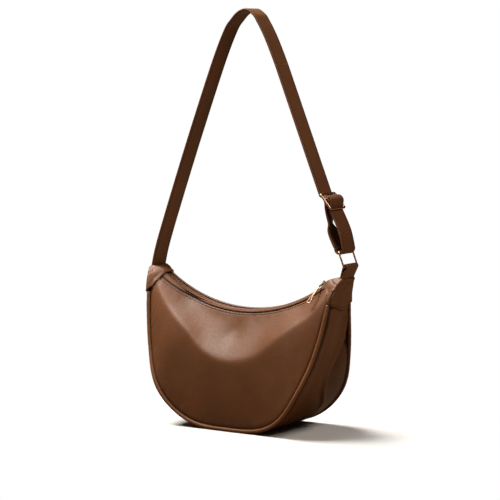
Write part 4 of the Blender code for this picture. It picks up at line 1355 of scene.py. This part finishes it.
def zip_matrix(degrees, across=0.0):
    """Moves and turns a form from the origin to a place along the zip."""
    turn = Matrix.Rotation(-math.radians(degrees), 4, "Y")
    return Matrix.Translation(on_zip(degrees, across, 0.0)) @ turn


def slider_point(along, up):
    turn = math.radians(SLIDER_DEG)
    return on_zip(SLIDER_DEG, 0.0, up) + Vector((math.cos(turn), 0.0, math.sin(turn))) * along


def plate(shaped, outline, low, high, matrix, bevel):
    """A flat plate from an outline, with its edges rounded."""
    base = [shaped.verts.new((x, y, low)) for x, y in outline]
    face = shaped.faces.new(base)
    moved = bmesh.ops.extrude_face_region(shaped, geom=[face])
    top = [item for item in moved["geom"] if isinstance(item, bmesh.types.BMVert)]
    bmesh.ops.translate(shaped, vec=(0.0, 0.0, high - low), verts=top)
    faces = {near for vertex in base + top for near in vertex.link_faces}
    bmesh.ops.recalc_face_normals(shaped, faces=list(faces))
    rounded = round_edges(shaped, base + top, bevel, 3)
    verts = {v for f in rounded["faces"] for v in f.verts}
    verts |= {v for f in rounded["faces"] for g in f.edges for h in g.link_faces for v in h.verts}
    bmesh.ops.transform(shaped, matrix=matrix, verts=list(verts))


def slider_outline():
    """A round tail, straight flanks that widen and a blunt nose."""
    half = [(0.0030 * (x - 1), 0.0038 * y) for x, y in arc(9, 180.0, 90.0)]
    half += [(0.0, 0.0039), (0.0022, 0.0045)]
    half += [(0.0032 + 0.0028 * x, 0.0048 * y) for x, y in arc(8, 90.0, 0.0)]
    return half + [(x, -y) for x, y in reversed(half[1:-1])]


class BAG_OT_zip(bpy.types.Operator):
    """Builds the tapes, the meshed teeth, the stops, the slider and its pull."""

    bl_idname = "bag.zip"
    bl_label = "Zip"

    def execute(self, context):
        tape = cloth("Zip tape", context.scene.bag_look.tape, 1500.0)
        teeth = toothed()
        pitch = math.degrees(TOOTH_PITCH / ZIP_RADIUS)
        for label, side in (("front", -1), ("back", 1)):
            shaped = grid(240, 12, tape_place(side), (0.26, 0.0088), flip=side < 0)
            name = f"zip_tape_{label}"
            finished(
                f"{name}_cloth", shaped, tape, "bag", "zip_tape", (name,),
                wall=TAPE_WALL, offset=0.0,
            )
            start = TEETH_START_DEG + (0.0 if side < 0 else pitch / 2)
            count = int((TEETH_END_DEG - start - TEETH_MARGIN_DEG) / pitch)
            shaped = bmesh.new()
            scatter(shaped, zip_tooth(side), [
                zip_matrix(start + number * pitch + TOOTH_STEP_IN_DEG) for number in range(count)
            ])
            name = f"zip_teeth_{label}"
            finished(f"{name}_row", shaped, teeth, "bag", "zip_teeth", (name,))
        metal = plated("Zip metal", 0.14, 0.45)
        self.stops(metal)
        self.slider(metal)
        self.pull(metal)
        return {"FINISHED"}

    def stops(self, metal):
        shaped = bmesh.new()
        for degrees, low, high in (
            (STOP_DEG, -STOP_OUTER, -STOP_INNER), (STOP_DEG, STOP_INNER, STOP_OUTER),
            (-STOP_DEG, -STOP_OUTER, STOP_OUTER),
        ):
            size = Matrix.Diagonal((STOP_LENGTH, high - low, STOP_HEIGHT, 1.0))
            matrix = zip_matrix(degrees, (low + high) / 2) @ size
            made = bmesh.ops.create_cube(shaped, size=1.0, matrix=matrix)
            round_edges(shaped, made["verts"], 0.0003, 2)
        finished(
            "zip_stops", shaped, metal, "bag", "metal",
            ("zip_closed_stop_front", "zip_closed_stop_back", "zip_open_stop"),
        )

    def slider(self, metal):
        shaped = bmesh.new()
        matrix = zip_matrix(SLIDER_DEG)
        plate(shaped, slider_outline(), PLATE_LOW, PLATE_HIGH, matrix, 0.00028)
        plate(shaped, slider_outline(), -PLATE_HIGH, -PLATE_LOW, matrix, 0.00028)
        for side in (-1, 1):
            outline = [(x, side * y) for x, y in FLANGE_OUTLINE]
            for low, high in ((0.0008, 0.0016), (-0.0016, -0.0008)):
                plate(shaped, outline, low, high, matrix, 0.00015)
        for low, high in ((0.0010, 0.0016), (-0.0016, -0.0010)):
            plate(shaped, WEDGE_OUTLINE, low, high, matrix, 0.0001)
        finished("zip_slider_body", shaped, metal, "slider", "metal", ("zip_slider",))
        arch = [slider_point(-x, up) for x, up in CROWN_HALF]
        arch += [slider_point(x, up) for x, up in reversed(CROWN_HALF)]
        wire_piece("zip_slider_crown", smooth_line(arch, 4), CROWN_BAR, metal, "slider")

    def pull(self, metal):
        pivot = slider_point(0.0, CROWN_RISE)
        circle = [pivot + Vector((0.0, y, z)) * EYE_RADIUS for y, z in arc(33, 0.0, 360.0)[:-1]]
        wire_piece("zip_pull_eye", circle, EYE_WIRE, metal, "pull", closed=True)
        neck = Matrix.Translation(pivot) @ Matrix.Rotation(NECK_DROP, 4, "X")
        end = -NECK_REACH - PULL_EDGE
        sides = ((-NECK_HALF, -EYE_RADIUS), (-NECK_HALF, end), (NECK_HALF, end))
        shaped = bmesh.new()
        outline = (*sides, (NECK_HALF, -EYE_RADIUS))
        plate(shaped, outline, -PULL_HALF, PULL_HALF, neck, PULL_EDGE)
        lean = Matrix.Rotation(BLADE_DROP, 4, "X") @ Matrix.Rotation(BLADE_LEAN, 4, "Z")
        matrix = Matrix.Translation(neck @ Vector((0.0, -NECK_REACH, 0.0))) @ lean
        for outline in BLADE_PARTS:
            plate(shaped, outline, -PULL_HALF, PULL_HALF, matrix, PULL_EDGE)
        finished("zip_pull_blade", shaped, metal, "pull", "metal", ("zip_pull",))


# Lining

LINING_END = 0.95
LINING_FOLD_TOP = 0.135


def lining_place(u, w):
    """The pouch, from one horn to the other and from its front edge round to its back edge."""
    t = mix(-LINING_END, LINING_END, u)
    across = 2 * w - 1
    side = -1 if across < 0 else 1
    level = 2 * abs(across) - 1
    if level > 0:
        place = front_place if across < 0 else back_place
        point = place((t + 1) / 2, mix(0.02, UPPER_ROWS - 0.03, level))
        point.y -= side * mix(0.0044, 0.0034, level)
        edge = on_zip(t * PANEL_END_DEG, side * 0.0073, -0.0014)
        return mix(point, edge, ease((level - 0.88) / 0.12))
    r = 2 * across
    start = seam(t)
    beside = bell(r - 0.2, 0.6)
    fold = 0.023 * curve_through(PLEAT_DEPTHS, start.y / PLEAT_TOP) * beside
    if start.y > LINING_FOLD_TOP:
        fold = max(fold, 0.020 * beside)
    flat = start - seam_outward(t) * (0.0042 + fold)
    return Vector((flat.x, middle_y(start.y) + r * (half_depth(start.y) - 0.0052), flat.y))


def pocket_place(u, w):
    """The slip pocket on the back, which sags a little open."""
    point = back_place(mix(0.35, 0.65, u), mix(0.28, 0.55, w))
    point.y -= 0.0072 + 0.0016 * math.sin(math.pi * u) * w
    return point


class BAG_OT_lining(bpy.types.Operator):
    """Builds the lining pouch and its slip pocket."""

    bl_idname = "bag.lining"
    bl_label = "Lining"

    def execute(self, context):
        finish = cloth("Lining cloth", context.scene.bag_look.lining, 900.0)
        finished(
            "lining_cloth", grid(120, 120, lining_place, (0.5, 0.4), flip=True), finish, "bag",
            "lining", ("lining",), wall=0.0005,
        )
        finished(
            "slip_pocket_cloth", grid(40, 24, pocket_place, (0.12, 0.065)), finish, "bag",
            "lining", ("slip_pocket",), wall=0.0008, offset=0.0,
        )
        return {"FINISHED"}


# Strap

RUN_TOP_SHARE = 0.8
TAIL_LEAN = 0.42
STRAP_TAIL = 0.012
TAB_TAIL = 0.011
OUTER_BOW = 0.0012
INNER_BOW = 0.0067
INNER_TWIST_DEG = -23.0
WHOLE_TURN_DEG = 330.0
STITCH_POINTS_APART = 0.002


def in_strap(flat, across=0.0):
    return Vector((flat.x, STRAP_Y + across, flat.y))


def strap_route():
    rise = LOOP_TOP - HORN_HEIGHT
    points = [Vector((HORN_X * x, HORN_HEIGHT + rise * z)) for x, z in zip(ROUTE_X, ROUTE_Z)]
    return smooth_line(points, 8)


def belt(rounds, step_deg=8.0):
    """A line that runs round circles in turn, each with a centre, a radius and a side."""
    tangents = []
    for (a, a_radius, a_side), (b, b_radius, b_side) in zip(rounds, rounds[1:]):
        run = b - a
        lift = (b_side * b_radius - a_side * a_radius) / run.length
        heading = math.atan2(run.y, run.x) - math.asin(lift)
        left = Vector((-math.sin(heading), math.cos(heading)))
        tangents.append((a - left * a_side * a_radius, b - left * b_side * b_radius, heading))
    points = [tangents[0][0]]
    for number in range(1, len(rounds) - 1):
        centre, radius, side = rounds[number]
        arriving, leaving = tangents[number - 1][2], tangents[number][2]
        turn = (leaving - arriving) * side % (2 * math.pi)
        if math.degrees(turn) > WHOLE_TURN_DEG:
            turn = 0.0
        steps = max(1, math.ceil(math.degrees(turn) / step_deg))
        for step in range(steps + 1):
            heading = arriving + side * turn * step / steps
            left = Vector((-math.sin(heading), math.cos(heading)))
            points.append(centre - left * side * radius)
    points.append(tangents[-1][1])
    return points


def adjuster_bars():
    """The upper, middle and lower bars, and the way out of the adjuster's face."""
    down = Vector((math.sin(ADJUSTER_LEAN), -math.cos(ADJUSTER_LEAN)))
    step = down * ADJUSTER_PITCH
    out = Vector((-down.y, down.x))
    return ADJUSTER_CENTRE - step, ADJUSTER_CENTRE, ADJUSTER_CENTRE + step, out


def ring_top():
    return RING_LOW + Vector((-math.sin(RING_LEAN), math.cos(RING_LEAN))) * RING_PITCH


def section_run(half_width, half_thickness):
    """A flat section's corner, and the lengths of its face, of its edge and all round."""
    corner = half_thickness * 0.8
    flat = 2 * (half_width - corner)
    curve = math.pi * corner
    return corner, flat, curve, 2 * (flat + curve)


def strap_section(u, half_width, half_thickness, seams):
    """Round a flat section with soft edges and a shallow channel under each stitch row."""
    corner, flat, curve, total = section_run(half_width, half_thickness)
    s = u * total
    face = 1
    if s >= flat + curve:
        s -= flat + curve
        face = -1
    if s < flat:
        across, rise = s - half_width + corner, half_thickness
        if seams:
            row = half_width - STITCH_INSET
            rise -= 0.00022 * (bell(across - row, 0.0008) + bell(across + row, 0.0008))
    else:
        turn = (s - flat) / corner
        across = half_width - corner + corner * math.sin(turn)
        rise = half_thickness * math.cos(turn)
    return face * across, face * rise


def strap_surface(points, twists, width, thickness, seams):
    """The place function of a flat strap's skin along a line in X and Z, and its length."""
    lengths = lengths_along(points)
    twists = twists or [0.0] * len(points)
    normals = []
    for before, after in zip(points[:1] + points, points[1:] + points[-1:]):
        run = after - before
        normals.append(Vector((-run.y, run.x)).normalized())

    def place(u, w):
        low, part = span(lengths, min(max(w, 0.0), 1.0) * lengths[-1])
        flat = mix(points[low], points[low + 1], part)
        normal = mix(normals[low], normals[low + 1], part).normalized()
        turn = math.radians(mix(twists[low], twists[low + 1], part))
        across, rise = strap_section(u, width / 2, thickness / 2, seams)
        side = Vector((math.sin(turn), math.cos(turn), 0.0))
        up = Vector((normal.x, 0.0, normal.y))
        up = (up - side * up.dot(side)).normalized()
        return in_strap(flat) + side * across + up * rise

    return place, lengths[-1]


def strap_piece(
    name, points, finish, replaced, steps, twists=None, width=STRAP_WIDTH, thickness=STRAP,
    seams=True, first=0.0, last=1.0,
):
    """A closed flat strap along a line, or along a share of it."""
    place, total = strap_surface(points, twists, width, thickness, seams)
    size = (2 * (width + thickness), total * (last - first))
    shaped = grid(72, steps, lambda u, w: place(u, mix(first, last, w)), size, closed=True)
    bmesh.ops.holes_fill(shaped, edges=shaped.edges)
    return finished(name, shaped, finish, None, "leather", replaced)


def strap_stitch_rows(points, twists=None, first=0.0, last=1.0):
    """Rows of stitches near both edges, on both faces."""
    place, length = strap_surface(points, twists, STRAP_WIDTH, STRAP, False)
    _, flat, curve, total = section_run(STRAP_WIDTH / 2, STRAP / 2)
    count = max(8, int(length * (last - first) / STITCH_POINTS_APART))
    shares = spread(count, first, last)
    rows = []
    for across in (-1, 1):
        s = flat / 2 + across * (STRAP_WIDTH / 2 - STITCH_INSET)
        upper, under = s / total, (2 * flat + curve - s) / total
        for here, back in ((under, upper), (upper, under)):
            line = [place(here, w) for w in shares]
            ups = [(point - place(back, w)).normalized() for point, w in zip(line, shares)]
            rows.append((line, ups))
    return rows


def lower_line(hub, cut_off, leg, middle, out, seat):
    """The lower loop's line, round the ring and up round the middle bar, and its twists."""
    turned = [hub + Vector(way) * TURN_RADIUS for way in arc(28, 0.0, -180.0)]
    down_leg = smooth_line([cut_off, leg, turned[0]], 10)[:-1]
    arrive = middle - out * seat
    aside, bow = Vector((TURN_RADIUS, 0.0)), Vector((INNER_BOW, 0.0))
    inner = [mix(hub - aside, arrive, share) - bow for share in (0.4, 0.6)]
    up_leg = smooth_line([turned[-1], *inner, arrive], 12)[1:-1]
    inward = math.degrees(math.atan2(-out.y, -out.x))
    wrap = [middle + Vector(way) * seat for way in arc(30, inward, inward - 215.0)]
    twists = [0.0] * len(down_leg + turned)
    for share in spread(len(up_leg)):
        twists.append(INNER_TWIST_DEG * math.sin(math.pi * share**1.3) ** 2)
    return down_leg + turned + up_leg + wrap, twists + [0.0] * len(wrap)


class BAG_OT_strap(bpy.types.Operator):
    """Builds the strap, its threaded run and its lower loop with their stitches, and the tab without any."""

    bl_idname = "bag.strap"
    bl_label = "Strap"

    def execute(self, context):
        finish = leather("Strap leather", wrinkle=0.2)
        route = strap_route()
        run_z = HORN_HEIGHT + RUN_TOP_SHARE * (LOOP_TOP - HORN_HEIGHT)
        apex = max(range(len(route)), key=lambda number: route[number].y)
        run_start = next(n for n in range(apex, len(route)) if route[n].y < run_z)
        tail = Vector((TAIL_LEAN * STRAP_TAIL - HORN_X, HORN_HEIGHT - STRAP_TAIL))
        main = resample([tail] + route[: run_start + 1], 360)
        replaced = ("strap_left_base", "strap_shoulder_loop")
        loop = strap_piece("strap_loop_leather", main, finish, replaced, 480)
        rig.blend(loop, "bag", "strap", (-HORN_X, STRAP_Y, 0.197), (-HORN_X, STRAP_Y, 0.236))

        upper, middle, lower, out = adjuster_bars()
        seat = ADJUSTER_WIRE + BAR_GAP + STRAP / 2
        over = seat + BAR_GAP + STRAP
        hub_lift = TURN_RADIUS - STRAP / 2 - BAR_GAP - RING_WIRE
        hub = ring_top() + (ring_top() - RING_LOW).normalized() * hub_lift
        leg = mix(lower, hub + Vector((TURN_RADIUS, 0.0)), 0.55) + Vector((OUTER_BOW, 0.0))
        start = route[run_start]
        rounds = [(start, 0.0, 1), (upper, seat, 1), (middle, over, -1), (lower, seat, 1)]
        woven = belt([*rounds, (leg, 0.0, 1)])
        cut_off = mix(woven[-2], woven[-1], 0.06)
        run = resample(woven[:-1] + [cut_off], 300)
        threaded = strap_piece("strap_run_leather", run, finish, ("strap_right_run",), 320)
        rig.blend(threaded, "strap", "adjuster", in_strap(start), in_strap(upper))

        points, twists = lower_line(hub, cut_off, leg, middle, out, seat)
        lengths = lengths_along(points)
        reach = hub.y + RING_TURN_REACH
        near = [length for length, point in zip(lengths, points) if point.y < reach]
        turn_first, turn_last = near[0] / lengths[-1], near[-1] / lengths[-1]
        bend_end = hub + Vector((0.0, RING_TURN_REACH - 0.001))
        bend = in_strap(hub + Vector((0.0, 0.006))), in_strap(bend_end)
        stretch_end = Vector((hub.x, cut_off.y - 0.001))
        stretch = in_strap(Vector((hub.x, reach))), in_strap(stretch_end)
        hung, turned = ("strap", "adjuster"), ("ring", "strap")
        for label, replaced, first, last, steps, bodies, span in (
            ("strap_lower_front", ("strap_lower_loop",), 0.0, turn_first, 80, hung, stretch),
            ("strap_ring_turn", (), turn_first, turn_last, 110, turned, bend),
            ("strap_lower_back", (), turn_last, 1.0, 140, hung, stretch),
        ):
            part = strap_piece(
                f"{label}_leather", points, finish, replaced, steps, twists, first=first, last=last
            )
            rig.blend(part, *bodies, *span)
            rows = strap_stitch_rows(points, twists, first=max(first, 0.01), last=last)
            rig.blend(stitches(f"{label}_stitches", rows, None), *bodies, *span)

        tab_seat = RING_WIRE + BAR_GAP + TAB / 2
        apart = (TAB + 0.0003) / 2
        foot = Vector((HORN_X - TAIL_LEAN * TAB_TAIL, HORN_HEIGHT - TAB_TAIL))
        folded = belt([
            (Vector((HORN_X - apart, HORN_HEIGHT)), 0.0, -1), (RING_LOW, tab_seat, -1),
            (Vector((HORN_X + apart, HORN_HEIGHT)), 0.0, -1),
        ])
        sides = Vector((apart, 0.0))
        tab_line = resample([foot - sides] + folded + [foot + sides], 120)
        tab = strap_piece(
            "ring_tab_leather", tab_line, finish, ("ring_tab",), 120, width=TAB_WIDTH,
            thickness=TAB, seams=False,
        )
        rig.blend(tab, "bag", "strap", (HORN_X, STRAP_Y, 0.197), (HORN_X, STRAP_Y, 0.212))

        rows = strap_stitch_rows(main, first=0.03, last=0.999)
        thread = stitches("strap_loop_stitches", rows, None)
        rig.blend(thread, "bag", "strap", (-HORN_X, STRAP_Y, 0.197), (-HORN_X, STRAP_Y, 0.236))
        thread = stitches("strap_run_stitches", strap_stitch_rows(run, first=0.001), None)
        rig.blend(thread, "strap", "adjuster", in_strap(start), in_strap(upper))
        return {"FINISHED"}


def framed_line(top, low, half_width, corner):
    """A four-sided loop between two bars, with rounded corners."""
    down = (low - top).normalized()
    half_length = (low - top).length / 2
    centre = (top + low) / 2
    points = []
    for a, b, start in ((-1, 1, 0.0), (-1, -1, 90.0), (1, -1, 180.0), (1, 1, 270.0)):
        for x, y in arc(8, start, start + 90.0):
            along = a * (half_length - corner) - corner * y
            points.append(in_strap(centre + down * along, b * (half_width - corner) + corner * x))
    return points


class BAG_OT_hardware(bpy.types.Operator):
    """Builds the adjuster and the ring."""

    bl_idname = "bag.hardware"
    bl_label = "Adjuster and Ring"

    def execute(self, context):
        finish = plated("Strap metal")
        upper, middle, lower, _ = adjuster_bars()
        wire_piece(
            "adjuster_frame", framed_line(upper, lower, ADJUSTER_HALF, 0.0025), ADJUSTER_WIRE,
            finish, "adjuster", ("strap_adjuster",), closed=True, sides=6,
        )
        ends = [in_strap(middle, side * ADJUSTER_HALF) for side in (-1, 1)]
        wire_piece("adjuster_bar", ends, ADJUSTER_WIRE, finish, "adjuster", sides=6)
        wire_piece(
            "ring_frame", framed_line(ring_top(), RING_LOW, RING_HALF, 0.0022), RING_WIRE,
            finish, "ring", ("strap_ring",), closed=True, sides=6,
        )
        return {"FINISHED"}


# Stage

# Name, place, height of its target, size, setting of its power, colour
LIGHTS = (
    ("top_light", (-0.72, -0.13, 1.78), 0.1, (1.4, 0.9), "key", (1.0, 0.95, 0.88)),
    ("front_light", (-0.6, -2.2, 0.9), 0.2, (1.4, 1.0), "fill", (1.0, 0.85, 0.7)),
    ("side_light", (1.25, -0.35, 1.6), 0.2, (0.9, 0.9), "side", (1.0, 0.9, 0.8)),
)


def aim(made, place, target_height):
    """Puts a light or camera in its place and turns it to a height on the bag's middle."""
    made.location = place
    run = Vector((0.0, 0.0, target_height)) - Vector(place)
    made.rotation_euler = run.to_track_quat("-Z", "Y").to_euler()


def floor_finish():
    """A pale floor that keeps the shadow and turns to plain white away from the bag."""
    made, tree, principled = shader("Floor", 0.8, specular=0.1)
    place = node(tree, "ShaderNodeTexCoord", (-900, -200)).outputs["Object"]
    reach = node(tree, "ShaderNodeVectorMath", (-700, -200), {0: place}, operation="LENGTH")
    far = node(
        tree, "ShaderNodeMapRange", (-500, -200), {"Value": reach.outputs["Value"]},
        interpolation_type="SMOOTHSTEP", in_From_Min=0.12, in_From_Max=0.34,
    )
    path = node(tree, "ShaderNodeLightPath", (-700, 300)).outputs
    seen = node(
        tree, "ShaderNodeMath", (-500, 300),
        {0: path["Is Camera Ray"], 1: path["Is Transmission Ray"]}, operation="MAXIMUM",
    ).outputs[0]
    pale = ramp(tree, (-300, 400), seen, ((0.17, 0.118, 0.074), (0.9, 0.9, 0.9)))
    connect(tree, principled, {"Base Color": pale})
    share = node(
        tree, "ShaderNodeMath", (-300, 100), {0: seen, 1: far.outputs["Result"]},
        operation="MULTIPLY",
    )
    white = node(tree, "ShaderNodeEmission", (0, -300), in_Color=WHITE, in_Strength=1.0)
    chosen = node(
        tree, "ShaderNodeMixShader", (300, 0),
        {0: share.outputs[0], 1: principled.outputs["BSDF"], 2: white.outputs["Emission"]},
    )
    connect(tree, tree.nodes["Material Output"], {"Surface": chosen.outputs["Shader"]})
    return made


class BAG_OT_stage(bpy.types.Operator):
    """Sets the floor, the lights and the camera."""

    bl_idname = "bag.stage"
    bl_label = "Stage"

    def execute(self, context):
        stage = context.scene.bag_stage
        shaped = bmesh.new()
        bmesh.ops.create_grid(shaped, x_segments=1, y_segments=1, size=6.0)
        floor = placed("floor", baked("floor", shaped))
        floor.data.materials.append(floor_finish())
        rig.stage(floor)

        world = bpy.data.worlds.new("Studio")
        context.scene.world = world
        world.use_nodes = True
        tree = world.node_tree
        background = tree.nodes["Background"]
        background.inputs["Color"].default_value = (1.0, 0.84, 0.68, 1.0)
        background.inputs["Strength"].default_value = 0.024
        seen = node(tree, "ShaderNodeBackground", (0, -150), in_Color=WHITE, in_Strength=1.0)
        path = node(tree, "ShaderNodeLightPath", (-200, 200))
        chosen = node(tree, "ShaderNodeMixShader", (200, 0), {
            0: path.outputs["Is Camera Ray"], 1: background.outputs["Background"],
            2: seen.outputs["Background"],
        })
        connect(tree, tree.nodes["World Output"], {"Surface": chosen.outputs["Shader"]})

        for name, place, target_height, size, setting, colour in LIGHTS:
            data = bpy.data.lights.new(name, "AREA")
            data.shape = "RECTANGLE"
            data.size, data.size_y = size
            data.energy = getattr(stage, setting)
            data.color = colour
            aim(placed(name, data), place, target_height)

        data = bpy.data.cameras.new("camera")
        data.lens = stage.lens
        data.sensor_width = 36.0
        data.shift_x = -1.3 / 500
        camera = placed("camera", data)
        across, back = math.sin(stage.azimuth), -math.cos(stage.azimuth)
        aim(camera, (stage.distance * across, stage.distance * back, stage.height), 0.225)
        context.scene.camera = camera
        context.scene.view_settings.view_transform = "Standard"
        return {"FINISHED"}


class BAG_PT_panel(bpy.types.Panel):
    """Lists the bag's settings and pieces."""

    bl_label = "Crescent Shoulder Bag"
    bl_idname = "BAG_PT_panel"
    bl_space_type = "VIEW_3D"
    bl_region_type = "UI"
    bl_category = "Bag"

    def draw(self, context):
        for settings in (
            context.scene.bag_form, context.scene.bag_stitch, context.scene.bag_look,
            context.scene.bag_stage,
        ):
            column = self.layout.column()
            for name in settings.__annotations__:
                column.prop(settings, name)
        for operator in OPERATORS:
            self.layout.operator(operator.bl_idname)


GROUPS = {
    "bag_form": BagForm, "bag_stitch": BagStitch, "bag_look": BagLook, "bag_stage": BagStage,
}
OPERATORS = (
    BAG_OT_stage, BAG_OT_panels, BAG_OT_gusset, BAG_OT_caps, BAG_OT_zip, BAG_OT_lining,
    BAG_OT_strap, BAG_OT_hardware,
)


def register():
    for name, made in GROUPS.items():
        bpy.utils.register_class(made)
        setattr(bpy.types.Scene, name, PointerProperty(type=made))
    for made in (*OPERATORS, BAG_PT_panel):
        bpy.utils.register_class(made)


def unregister():
    for made in reversed((*OPERATORS, BAG_PT_panel)):
        bpy.utils.unregister_class(made)
    for name, made in GROUPS.items():
        delattr(bpy.types.Scene, name)
        bpy.utils.unregister_class(made)


def main():
    register()
    bpy.ops.bag.stage()
    bpy.ops.bag.panels()
    bpy.ops.bag.gusset()
    bpy.ops.bag.caps()
    bpy.ops.bag.zip()
    bpy.ops.bag.lining()
    bpy.ops.bag.strap()
    bpy.ops.bag.hardware()
    sizes = {
        "cad": [list(corner) for corner in cad_box],
        "visual": [list(corner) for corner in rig.bounds()],
    }
    with open("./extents.json", "w") as kept:
        json.dump(sizes, kept)


if __name__ == "__main__":
    main()
